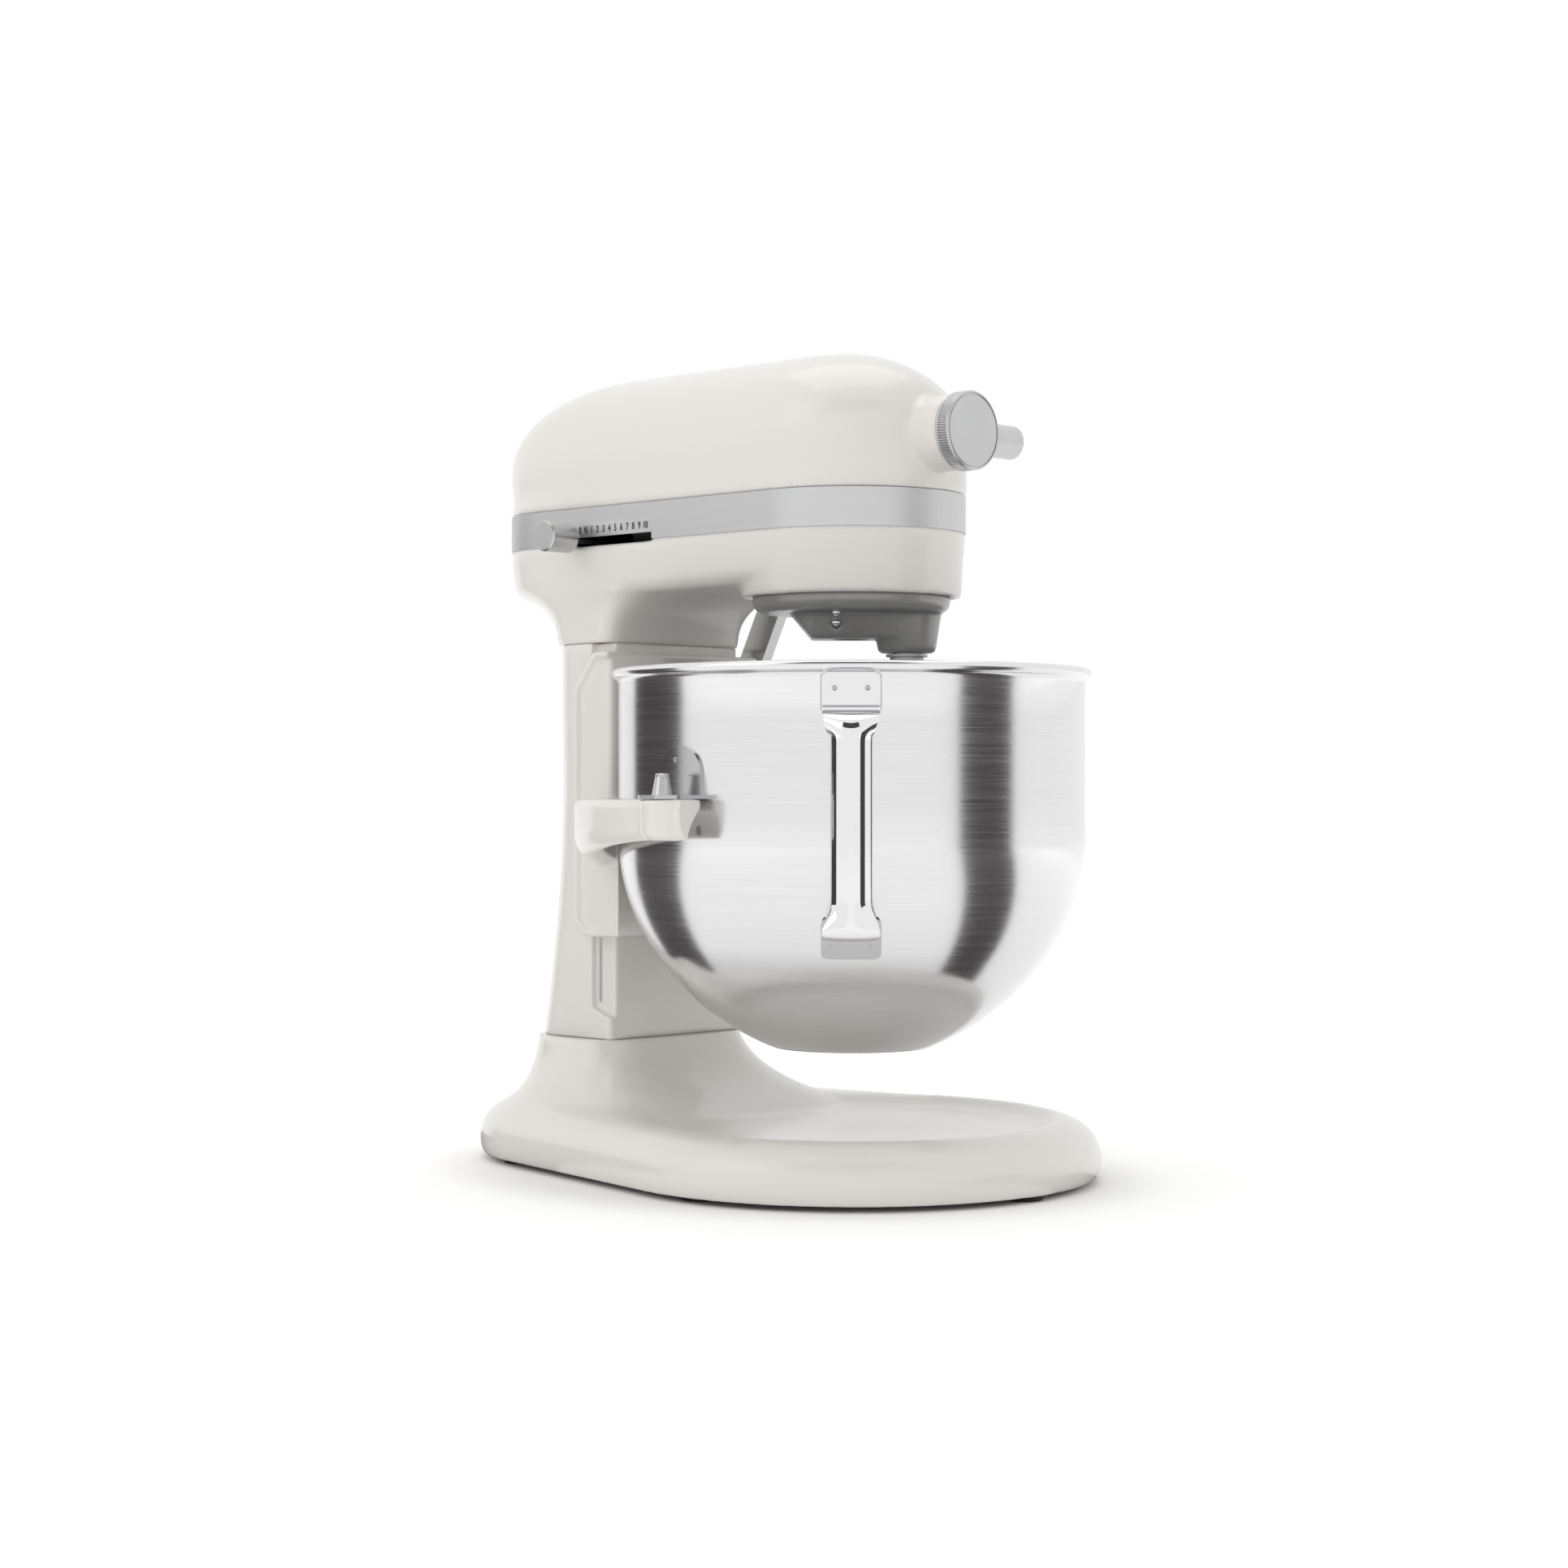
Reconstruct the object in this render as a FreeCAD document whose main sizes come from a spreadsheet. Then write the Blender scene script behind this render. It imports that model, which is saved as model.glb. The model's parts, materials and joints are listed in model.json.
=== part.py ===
"""Bowl-lift stand mixer, as an assembly of separate sub-parts.

Millimetres, +Z up. The feet stand on Z = 0, the attachment hub points along +X and the speed lever
is on the -Y side. Every sub-part is drawn about the mixing axis (the planetary's vertical axis) and
placed at X = axis_x, so that the origin is at the middle of the whole mixer's footprint.
"""
import FreeCAD
import Part
import math
import os
import re
import Sketcher

V = FreeCAD.Vector
ALONG_X = FreeCAD.Rotation(V(0, 1, 0), 90)      # turns a piece drawn along Z to lie along +X
ALONG_Y = FreeCAD.Rotation(V(1, 0, 0), -90)     # turns a piece drawn along Z to lie along +Y
ALONG_MINUS_Y = FreeCAD.Rotation(V(1, 0, 0), 90)

SIZES = {
    # whole mixer
    "axis_x": 50.5, "running": 0.05, "gap": 0.35, "wall": 3.5,
    # head
    "head_half": 57.5, "head_rear": 226.8, "rear_corner": 50, "head_top": 417, "band_top": 344,
    "band_low": 324.7, "band_thick": 1.2, "shoulder_low": 307.5, "underside": 299,
    "nose_start": 10, "nose_drop": 41, "side_drop": 46, "tail_run": 78, "tail_drop": 51,
    # gear case ring under the nose
    "case_rad": 56.4, "case_low": 292.5, "case_bore": 51, "case_floor": 308, "deck_top": 316,
    # neck and column
    "seam": 273.5, "column_half": 49, "column_front": 126.6, "column_rear": 181, "column_low": 64.5,
    "column_corner": 28, "column_wall": 5.8, "recess_depth": 4, "recess_back": 141, "recess_low": 78,
    "cord_x": 194.9, "cord_z": 82, "slot_half": 8, "slot_low": 200, "slot_high": 263,
    # base
    "base_front": 126, "base_rear": 226, "base_half": 124, "base_low": 3, "base_top": 31.7,
    "foot_rad": 9, "foot_high": 6, "dish_rad": 103, "dish_deep": 5,
    # bowl
    "bowl_rad": 117.6, "bowl_wall": 1.2, "rim_rad": 121, "rim_top": 256.8, "rim_low": 251.8,
    "bowl_low": 66.5, "bowl_knee": 170, "bowl_foot": 40, "hip_rad": 97.1, "hip_z": 111,
    "bottom_bend": 130, "side_bend": 104,
    "handle_turn": -47.4, "handle_wide": 20, "handle_reach": 146, "handle_top": 231, "handle_low": 128,
    "strap": 2.4, "plate_wide": 27, "plate_thick": 1.5,
    # bowl support
    "plate_front": 121, "yoke_half": 50.5, "yoke_low": 119, "yoke_top": 268, "flange_back": 147.5,
    "arm_top": 191.6, "arm_inner": 122.6, "arm_outer": 143, "pin_reach": 132, "pin_rad": 5.25,
    "pin_low": 192, "pin_high": 204, "pin_tip": 3, "lip_deep": 4.5, "draw_back": 8,
    "pad_rad": 15, "pad_x": 2,
    # lift lever
    "lever_x": 141, "lever_z": 232, "lever_y": 60, "lever_lean": 27, "shaft_rad": 5, "crank_rad": 27,
    "crank_pin": 3,
    # planetary
    "dish_r": 50, "dish_low": 285, "dish_edge": 6, "wedge_low": 272, "pin_head": 2.3,
    "boss_low": 265, "offset": 28, "centre_rad": 8, "beater_rad": 6.35,
    "beater_low": 222, "beater_high": 306, "cross_pin_z": 232,
    # gears
    "ring_module": 1.75, "ring_teeth": 50, "planet_teeth": 18, "gear_module": 1.5,
    "centre_teeth": 40, "pinion_teeth": 16, "wheel_teeth": 26, "worm_rad": 8,
    "bevel_cone": 24, "bevel_face": 7, "bevel_centre_teeth": 24, "bevel_hub_teeth": 16,
    # motor
    "motor_z": 343, "stator_rad": 38, "stator_front": 68, "stator_long": 62, "rotor_rad": 22,
    # attachment hub
    "hub_z": 371.1, "hub_rad": 18.8, "hub_face": 72.5, "hub_bore": 12.7, "cap_rad": 19.35,
    "cap_thick": 8, "knob_x": 60, "knob_rad": 8.5,
    # speed lever
    "lever_rest": 142, "slot_front": 86, "slot_z": 326.4, "speed_knob_rad": 8, "speed_knob_z": 328,
}

doc = FreeCAD.newDocument("stand_mixer")
dims = doc.addObject("Spreadsheet::Sheet", "dims")
for row, (alias, value) in enumerate(SIZES.items(), start=1):
    dims.set(f"A{row}", alias)
    dims.set(f"B{row}", str(value))
    dims.setAlias(f"B{row}", alias)
doc.recompute()
PARTS = {}


def size(alias):
    """The sheet's value of one driving dimension."""
    return float(getattr(dims, alias))


def formula(text):
    """Text such as 'bowl_rad - 2' as an expression on the sheet."""
    return re.sub(r"[a-z_]{2,}", lambda word: "dims." + word.group(), text)


def number(text):
    """The same text's present value."""
    plain = re.sub(r"[a-z_]{2,}", lambda word: f"({size(word.group())})", text)
    return FreeCAD.Units.Quantity(plain).Value


def keep(piece, label, where=("0", "0", "0"), turn=FreeCAD.Rotation()):
    """Makes a piece a sub-part: its Label, and its Placement relative to the mixing axis."""
    texts = ("axis_x + " + where[0], where[1], where[2])
    piece.Placement = FreeCAD.Placement(V(*(number(text) for text in texts)), turn)
    for letter, text in zip("xyz", texts):
        piece.setExpression(f"Placement.Base.{letter}", formula(text))
    piece.Label = label
    PARTS[label] = piece
    return piece


# ---- PartDesign helpers --------------------------------------------------------------------------

def arc_between(start, end, radius, side):
    """The minor arc from start to end; side is +1 to bulge left of the way along, -1 right."""
    middle = (start + end) * 0.5
    along = (end - start)
    across = V(-along.y, along.x, 0).normalize()
    half = along.Length / 2
    deep = radius - math.sqrt(max(radius * radius - half * half, 0.0))
    return Part.Arc(start, middle + across * deep * side, end)


def sketch_outline(body, name, plane, outline):
    """A closed sketch. Each corner is (a, b), or (a, b, radius, side) when an arc follows it."""
    sketch = body.newObject("Sketcher::SketchObject", name)
    origin_plane = [item for item in body.Origin.OriginFeatures if item.Role == plane][0]
    sketch.AttachmentSupport = (origin_plane, [""])
    sketch.MapMode = "FlatFace"
    corners = [V(number(corner[0]), number(corner[1]), 0) for corner in outline]
    for index, corner in enumerate(outline):
        start = corners[index]
        end = corners[(index + 1) % len(corners)]
        if len(corner) == 2:
            sketch.addGeometry(Part.LineSegment(start, end), False)
        else:
            sketch.addGeometry(arc_between(start, end, number(corner[2]), corner[3]), False)
    ends = sketch_ends(sketch, corners)
    for index, corner in enumerate(outline):
        following = (index + 1) % len(corners)
        sketch.addConstraint(Sketcher.Constraint("Coincident", index, ends[index][1],
                                                 following, ends[following][0]))
        for kind, text in zip(("DistanceX", "DistanceY"), corner[:2]):
            rule = Sketcher.Constraint(kind, -1, 1, index, ends[index][0], number(text))
            fixed = sketch.addConstraint(rule)
            sketch.setExpression(f"Constraints[{fixed}]", formula(text))
        if len(corner) == 4:
            rule = Sketcher.Constraint("Radius", index, number(corner[2]))
            fixed = sketch.addConstraint(rule)
            sketch.setExpression(f"Constraints[{fixed}]", formula(corner[2]))
    return sketch


def sketch_ends(sketch, corners):
    """Which end (1 or 2) of each edge is its start: a sketch stores arcs anticlockwise."""
    ends = []
    for index, corner in enumerate(corners):
        first = sketch.getPoint(index, 1)
        ends.append((1, 2) if first.distanceToPoint(corner) < 1e-4 else (2, 1))
    return ends


def turned(label, outline, where=("0", "0", "0"), turn=FreeCAD.Rotation()):
    """A sub-part turned on a lathe: outline is (radius, height) corners about its own axis."""
    body = doc.addObject("PartDesign::Body", label + "_body")
    sketch = sketch_outline(body, label + "_outline", "XZ_Plane", outline)
    revolution = body.newObject("PartDesign::Revolution", label + "_turning")
    revolution.Profile = sketch
    revolution.ReferenceAxis = (sketch, ["V_Axis"])
    revolution.Angle = 360
    return keep(body, label, where, turn)


def tube(label, outer, inner, length, where=("0", "0", "0"), turn=FreeCAD.Rotation()):
    """A plain bush, bearing ring or washer."""
    outline = [(inner, "0"), (outer, "0"), (outer, length), (inner, length)]
    return turned(label, outline, where, turn)


# ---- Part primitives and booleans ----------------------------------------------------------------

def primitive(kind, at, turn=FreeCAD.Rotation(), **measures):
    """A Part primitive whose sizes and place follow the sheet."""
    piece = doc.addObject("Part::" + kind, kind.lower())
    for name, text in measures.items():
        setattr(piece, name, number(text))
        piece.setExpression(name, formula(text))
    piece.Placement = FreeCAD.Placement(V(*(number(text) for text in at)), turn)
    for letter, text in zip("xyz", at):
        piece.setExpression(f"Placement.Base.{letter}", formula(text))
    return piece


def rod(radius, length, at, turn=FreeCAD.Rotation()):
    return primitive("Cylinder", at, turn, Radius=radius, Height=length)


def block(long, wide, high, at, turn=FreeCAD.Rotation()):
    return primitive("Box", at, turn, Length=long, Width=wide, Height=high)


def shaped(label, shape):
    """A sub-part whose shape is worked out in code from the sheet's sizes."""
    piece = doc.addObject("Part::Feature", label + "_shape")
    piece.Shape = Part.makeCompound(shape.Solids)
    return keep(piece, label)


def group(label, pieces, where=("0", "0", "0")):
    """Separate identical solids in one node."""
    compound = doc.addObject("Part::Compound", label + "_group")
    compound.Links = pieces
    return keep(compound, label, where)


def united(label, pieces, where=("0", "0", "0"), turn=FreeCAD.Rotation()):
    fusion = doc.addObject("Part::MultiFuse", label + "_fusion")
    fusion.Shapes = pieces
    return keep(fusion, label, where, turn)


def cut_away(label, base, tools, where=("0", "0", "0"), turn=FreeCAD.Rotation()):
    waste = doc.addObject("Part::MultiFuse", label + "_waste")
    waste.Shapes = tools
    result = doc.addObject("Part::Cut", label + "_cut")
    result.Base = base
    result.Tool = waste if len(tools) > 1 else tools[0]
    if len(tools) == 1:
        doc.removeObject(waste.Name)
    return keep(result, label, where, turn)


# ---- free-form sections --------------------------------------------------------------------------

def quarter(start, corner, end):
    """A quarter of an ellipse from start to end, inside the square corner."""
    curve = Part.BSplineCurve()
    curve.buildFromPolesMultsKnots([start, corner, end], [3, 3], [0, 1], False, 2,
                                   [1, math.sqrt(0.5), 1])
    return curve.toShape()


def plan_section(height, front, rear, half, nose, tail, nose_wide=None, tail_wide=None):
    """A closed plan section: front and rear reach along X, half width, and corner sizes.

    nose and tail are the corners' lengths along X. nose_wide and tail_wide are their widths, the
    same as the lengths unless given. A nose as wide as the section leaves no flat at the front.
    """
    nose_wide = nose if nose_wide is None else nose_wide
    tail_wide = tail if tail_wide is None else tail_wide
    flat = half - nose_wide

    def at(x, y):
        return V(x, y, height)

    edges = [
        quarter(at(front, flat), at(front, half), at(front - nose, half)),
        Part.LineSegment(at(front - nose, half), at(rear + tail, half)).toShape(),
        quarter(at(rear + tail, half), at(rear, half), at(rear, half - tail_wide)),
        Part.LineSegment(at(rear, half - tail_wide), at(rear, tail_wide - half)).toShape(),
        quarter(at(rear, tail_wide - half), at(rear, -half), at(rear + tail, -half)),
        Part.LineSegment(at(rear + tail, -half), at(front - nose, -half)).toShape(),
        quarter(at(front - nose, -half), at(front, -half), at(front, -flat)),
    ]
    if flat > 0.01:
        edges.append(Part.LineSegment(at(front, -flat), at(front, flat)).toShape())
    return Part.Wire(edges)


def lofted(sections, ruled=False):
    return Part.makeLoft(sections, True, ruled)


def ellipse_inset(rise, drop, run):
    """How far a dome's edge has come in, rise mm above where it starts to turn over."""
    part = min(max(rise / drop, 0.0), 1.0)
    return run * (1.0 - math.sqrt(1.0 - part * part))


# ---- head ----------------------------------------------------------------------------------------

def head_section(height, inset=0.0):
    """The head's plan: a round nose about the mixing axis and rounded rear corners."""
    half = size("head_half") - inset
    corner = size("rear_corner") - inset
    return plan_section(height, half, inset - size("head_rear"), half, half, corner)


def dome_section(height, inset=0.0):
    """The upper housing's plan at a height: the nose, the sides and the tail come in on ellipses."""
    top = size("head_top")
    rise = height + inset - top
    nose_in = ellipse_inset(rise + size("nose_drop"), size("nose_drop"),
                            size("head_half") + size("nose_start"))
    side_in = ellipse_inset(rise + size("side_drop"), size("side_drop"), size("head_half"))
    tail_in = ellipse_inset(rise + size("tail_drop"), size("tail_drop"), size("tail_run"))
    half = max(size("head_half") - side_in - inset, 1.0)
    front = size("head_half") - nose_in - inset
    rear = tail_in + inset - size("head_rear")
    nose = front * 0.5 + size("head_half") * 0.5
    share = half / size("head_half")
    tail = size("rear_corner") * (0.45 + 0.55 * share)
    return plan_section(height, front, rear, half, nose, tail, half, half * 0.87)


def dome(inset, low):
    """The domed block above the band, lofted through sections that close up towards the crown."""
    top = size("head_top") - inset
    drops = [0.15, 0.9, 2.4, 5, 9, 14, 20, 27, 35, 44, 53]
    heights = sorted([top - drop for drop in drops] + [low])
    return lofted([dome_section(height, inset) for height in heights])


def lathe_tool(radius, low, high, x=0.0, y=0.0):
    return Part.makeCylinder(radius, high - low, V(x, y, low))


def rod_x(radius, low, high, y=0.0, z=0.0):
    return Part.makeCylinder(radius, high - low, V(low, y, z), V(1, 0, 0))


def rod_y(radius, low, high, x=0.0, z=0.0):
    return Part.makeCylinder(radius, high - low, V(x, low, z), V(0, 1, 0))


def box(low, high):
    return Part.makeBox(high[0] - low[0], high[1] - low[1], high[2] - low[2], V(*low))


def hub_flare(radius, reach, flare, height):
    """A round boss along +X that spreads into the nose on a concave fillet."""
    start = size("head_half") - 18
    profile = Part.Wire([
        Part.LineSegment(V(start, 0, height), V(start, 0, height + radius + flare)).toShape(),
        Part.Arc(V(start, 0, height + radius + flare),
                 V(start + 0.36 * 22, 0, height + radius + 0.27 * flare),
                 V(start + 22, 0, height + radius)).toShape(),
        Part.LineSegment(V(start + 22, 0, height + radius), V(reach, 0, height + radius)).toShape(),
        Part.LineSegment(V(reach, 0, height + radius), V(reach, 0, height)).toShape(),
        Part.LineSegment(V(reach, 0, height), V(start, 0, height)).toShape(),
    ])
    return Part.Face(profile).revolve(V(0, 0, height), V(1, 0, 0), 360)


def upper_housing():
    hub_z = size("hub_z")
    outer = dome(0.0, size("band_top"))
    outer = outer.fuse(hub_flare(size("hub_rad"), size("hub_face"), 9, hub_z))
    inner = dome(size("wall"), size("band_top") - 1)
    shell = outer.cut(inner)
    shell = shell.fuse(rod_x(size("hub_rad"), 38, 56, z=hub_z))
    shell = shell.cut(rod_x(size("hub_bore") + 3, 30, 80, z=hub_z))
    return shell.cut(rod_y(4 + size("running"), 12, 25, size("knob_x"), hub_z))


def neck_section(height):
    """The neck's plan: it spreads like a trumpet from the seam up to the head."""
    top = size("underside")
    low = size("seam")
    share = (height - low) / (top - low)
    spread = share ** 2.6
    front = -size("column_front") + 1 + 22 * spread
    rear = -size("column_rear") - 3 - (size("head_rear") - size("column_rear") - 19) * spread
    half = size("column_half") + 1.2 + 4.0 * share ** 3
    corner = size("column_corner") + 14 * spread
    return plan_section(height, front, rear, half, 9 + 8 * spread, corner)


def lower_housing():
    """The lower half of the head with the gear case ring, the neck and the gear deck inside."""
    band_low = size("band_low")
    band_top = size("band_top")
    wall = size("wall")
    underside = size("underside")
    sill = band_top - size("band_thick") + 0.6
    sides = lofted([head_section(size("shoulder_low"), 1.5), head_section(band_low - 3, 0.15),
                    head_section(band_low)])
    belly = lofted([head_section(underside - 0.5, 11), head_section(underside + 1.5, 5.0),
                    head_section(underside + 4.5, 2.4), head_section(size("shoulder_low"), 1.5)])
    rim = lofted([head_section(band_low, size("band_thick") + 0.1),
                  head_section(band_top - 0.1, size("band_thick") + 0.1)], True)
    ring = Part.makeCone(size("case_rad") - 0.9, size("case_rad"), sill - 35 - size("case_low"),
                         V(0, 0, size("case_low")))
    heights = [size("seam") + (underside + 2 - size("seam")) * step / 6 for step in range(7)]
    neck = lofted([neck_section(height) for height in heights])
    solid = sides.multiFuse([belly, rim, ring, neck])
    cavity = lofted([head_section(underside + wall, 13), head_section(size("shoulder_low") + 2, wall + 1.5),
                     head_section(band_top + 1, wall + 1.5)], True)
    tower = lathe_tool(size("case_rad") - 1.4, size("case_low") + 1, size("deck_top"))
    cavity = cavity.cut(tower)
    well = plan_section(0, -size("column_front") - 6, -size("column_rear") + 2,
                        size("column_half") - 5, 6, size("column_corner") - 6)
    shaft_well = Part.Face(well).extrude(V(0, 0, underside + 8 - size("seam") + 1))
    shaft_well.translate(V(0, 0, size("seam") - 1))
    solid = solid.cut(cavity).cut(shaft_well)
    solid = solid.cut(lathe_tool(size("case_bore"), size("case_low") - 1, size("case_floor")))
    solid = solid.cut(lathe_tool(14, size("case_floor") - 1, size("deck_top") + 1))
    slot = box((-size("lever_rest") - 6, -62, size("slot_z") - 1.9),
               (-size("slot_front"), -50, size("slot_z") + 1.9))
    return solid.cut(slot)


def trim_band():
    """The metal band round the head, with the speed lever's slot at its lower edge."""
    low = size("band_low") + 0.2
    high = size("band_top") - 0.2
    outer = Part.Face(head_section(low, -0.35)).extrude(V(0, 0, high - low))
    inner = Part.Face(head_section(low, size("band_thick"))).extrude(V(0, 0, high - low))
    slot = box((-size("lever_rest") - 6, -62, low - 1),
               (-size("slot_front"), -50, size("slot_z") + 1.9))
    return outer.cut(inner).cut(slot)


# ---- column and base -----------------------------------------------------------------------------

def column_rear_at(height):
    """The column's back leans out towards the pedestal."""
    low_share = max(0.0, (184 - height) / (184 - size("column_low")))
    return size("column_rear") + 15 * low_share ** 1.55


def column_section(height, inset=0.0):
    rear = -column_rear_at(height) + inset
    front = -size("column_front") - inset
    corner = max(size("column_corner") - inset, 4)
    return plan_section(height, front, rear, size("column_half") - inset, 3, corner)


def column():
    low = size("column_low")
    seam = size("seam")
    heights = [low, 85, 110, 140, 184, 230, seam]
    solid = lofted([column_section(height) for height in heights])
    hollow = lofted([column_section(height, size("column_wall")) for height in
                     [low - 1] + heights[1:-1] + [seam + 1]])
    solid = solid.cut(hollow)
    for x, y in bolt_places():
        for start in (low, seam - 16):
            solid = solid.fuse(lathe_tool(7, start, start + 16, x, y))
        solid = solid.cut(lathe_tool(3, low - 1, low + 14, x, y))
        solid = solid.cut(lathe_tool(2.5, seam - 14, seam + 1, x, y))
    half = size("column_half")
    deep = half - size("recess_depth")
    for side in (-1, 1):
        outline = [V(-size("recess_back"), side * (half + 5), seam + 1),
                   V(-size("column_front") + 5, side * (half + 5), seam + 1),
                   V(-size("column_front") + 5, side * (half + 5), size("recess_low") - 4),
                   V(-size("recess_back"), side * (half + 5), size("recess_low") + 3)]
        face = Part.Face(Part.makePolygon(outline + outline[:1]))
        solid = solid.cut(face.extrude(V(0, -side * (half + 5 - deep), 0)))
    slot = box((-145, -size("slot_half"), size("slot_low")),
               (-110, size("slot_half"), size("slot_high")))
    solid = solid.cut(slot)
    bush = rod_y(size("shaft_rad") + 4, 0, 60, -size("lever_x"), size("lever_z"))
    inlet = rod_x(5.5, -210, -180, z=size("cord_z"))
    inlet = inlet.fuse(rod_x(7.2, -210, -size("cord_x") + 3.1, z=size("cord_z")))
    return biggest(solid.cut(bush).cut(inlet))


def base_plan(height, inset):
    """The base's plan: a big round front about the mixing axis, tapering sides and a round rear."""
    radius = size("base_front") - inset
    lean = math.radians(11.3)
    rear = -size("base_rear") + inset
    tangent = V(-radius * math.sin(lean), radius * math.cos(lean), height)
    corner = 62 - inset
    end_x = rear + corner * 1.1
    end_y = tangent.y - (tangent.x - end_x) * math.tan(lean)
    bend = V(rear, end_y - (end_x - rear) * math.tan(lean) * 1.0, height)
    tail = V(rear, bend.y - corner * 0.95, height)
    mirror = [V(point.x, -point.y, height) for point in (tangent, V(end_x, end_y, height), bend, tail)]
    edges = [
        Part.Arc(mirror[0], V(radius, 0, height), tangent).toShape(),
        Part.LineSegment(tangent, V(end_x, end_y, height)).toShape(),
        quarter(V(end_x, end_y, height), bend, tail),
        Part.LineSegment(tail, mirror[3]).toShape(),
        quarter(mirror[3], mirror[2], mirror[1]),
        Part.LineSegment(mirror[1], mirror[0]).toShape(),
    ]
    return Part.Wire(edges)


def base():
    low = size("base_low")
    top = size("base_top")
    rim = [(low, 2.2), (low + 2.5, 0.5), (low + 7, 0), (low + 12, 0.4), (low + 17, 2.2),
           (low + 21.5, 5.2), (low + 25, 9.5), (low + 27.4, 15), (top, 21)]
    plate = lofted([base_plan(height, inset) for height, inset in rim])
    floor = top - size("dish_deep")
    edge = size("dish_rad")
    rise = Part.Arc(V(edge, 0, top + 0.3), V(edge - 8, 0, top - 3.6), V(edge - 19, 0, floor)).toShape()
    profile = Part.Wire([Part.LineSegment(V(0, 0, 60), V(edge, 0, 60)).toShape(),
                         Part.LineSegment(V(edge, 0, 60), V(edge, 0, top + 0.3)).toShape(), rise,
                         Part.LineSegment(V(edge - 19, 0, floor), V(0, 0, floor)).toShape(),
                         Part.LineSegment(V(0, 0, floor), V(0, 0, 60)).toShape()])
    dish = Part.Face(profile).revolve(V(0, 0, 0), V(0, 0, 1), 360)
    plate = plate.cut(dish)
    plate = plate.cut(under_hollow())
    steps = [(22.5, 52, 219, 84, 74), (26, 58, 216, 80, 70), (30, 68, 212.5, 76.5, 64),
             (36, 84, 208, 71, 56), (43, 100, 204, 65.5, 50), (51, 111, 201, 61.2, 45),
             (58, 117, 199.3, 58.8, 42), (64.5, 119.5, 198.3, 57.6, 40)]
    pedestal = lofted([plan_section(height, -front, -rear, half, 30, tail)
                       for height, front, rear, half, tail in steps])
    bore = Part.Face(column_section(size("column_low"), 6)).extrude(V(0, 0, 40))
    bore.translate(V(0, 0, -34))
    pedestal = pedestal.cut(bore)
    casting = plate.fuse(pedestal).cut(under_hollow())
    for x, y in bolt_places():
        casting = casting.cut(lathe_tool(3, 10, 70, x, y))
    for x, y in foot_places():
        casting = casting.cut(lathe_tool(size("foot_rad") + 1.5, 0, size("foot_high"), x, y))
        casting = casting.cut(lathe_tool(4, 0, size("foot_high") + 12, x, y))
    return biggest(casting)


def under_hollow():
    """The casting is open underneath, within a rim."""
    low = size("base_low")
    return lofted([base_plan(low - 1, 9), base_plan(low + 12, 11), base_plan(low + 17, 17)])


def bolt_places():
    half = size("column_half") - 10
    return [(x, y) for x in (-size("column_front") - 9, -size("column_rear") + 21) for y in (-half, half)]


def foot_places():
    spots = [(0, 0.86), (-165, 0.62)]
    places = [(x, side * size("base_half") * share) for x, share in spots for side in (-1, 1)]
    return places + [(size("base_front") - 14, 0)]


# ---- bowl ----------------------------------------------------------------------------------------

def bowl_outline():
    """A straight wall, a deep rounded bottom and a rolled rim, as one closed thin section."""
    outer = [("bowl_foot", "bowl_low", "bottom_bend", -1), ("hip_rad", "hip_z", "side_bend", -1),
             ("bowl_rad", "bowl_knee"), ("bowl_rad", "rim_low - 2", "3.4", 1),
             ("rim_rad", "rim_low + 1.4"), ("rim_rad", "rim_top - 2.4", "2.4", -1),
             ("rim_rad - 2.4", "rim_top")]
    inner = [("bowl_rad - bowl_wall", "rim_top - 2"),
             ("bowl_rad - bowl_wall", "bowl_knee", "side_bend - bowl_wall", 1),
             ("hip_rad - 0.97", "hip_z + 0.7", "bottom_bend - bowl_wall", 1),
             ("bowl_foot - 0.45", "bowl_low + 1.1"),
             ("0", "bowl_low + bowl_wall + 2"), ("0", "bowl_low + 2")]
    return outer + inner


def rounded_path(points, radii):
    """A path of straight runs joined by tangent arcs at its inner points."""
    edges = []
    start = points[0]
    for before, corner, after, radius in zip(points, points[1:], points[2:], radii):
        back = (before - corner).normalize()
        ahead = (after - corner).normalize()
        half_turn = back.getAngle(ahead) / 2
        reach = radius / math.tan(half_turn)
        middle = corner + (back + ahead).normalize() * (radius / math.sin(half_turn) - radius)
        edges.append(Part.LineSegment(start, corner + back * reach).toShape())
        edges.append(Part.Arc(corner + back * reach, middle, corner + ahead * reach).toShape())
        start = corner + ahead * reach
    edges.append(Part.LineSegment(start, points[-1]).toShape())
    return Part.Wire(edges)


def handle_path():
    """The strap's middle line in the handle's own plane, from the top plate to the low plate."""
    wall = size("bowl_rad") + size("plate_thick") + size("strap") / 2
    reach = size("handle_reach")
    top = size("handle_top")
    low = size("handle_low")
    points = [V(wall, 0, top + 2), V(wall + 0.4, 0, top - 5), V(reach - 3, 0, top - 10),
              V(reach, 0, top - 30),
              V(reach, 0, low + 26), V(reach - 9, 0, low + 2), V(109.5, 0, low - 10), V(105.2, 0, low - 17)]
    return rounded_path(points, [3, 11, 60, 60, 16, 5])


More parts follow.
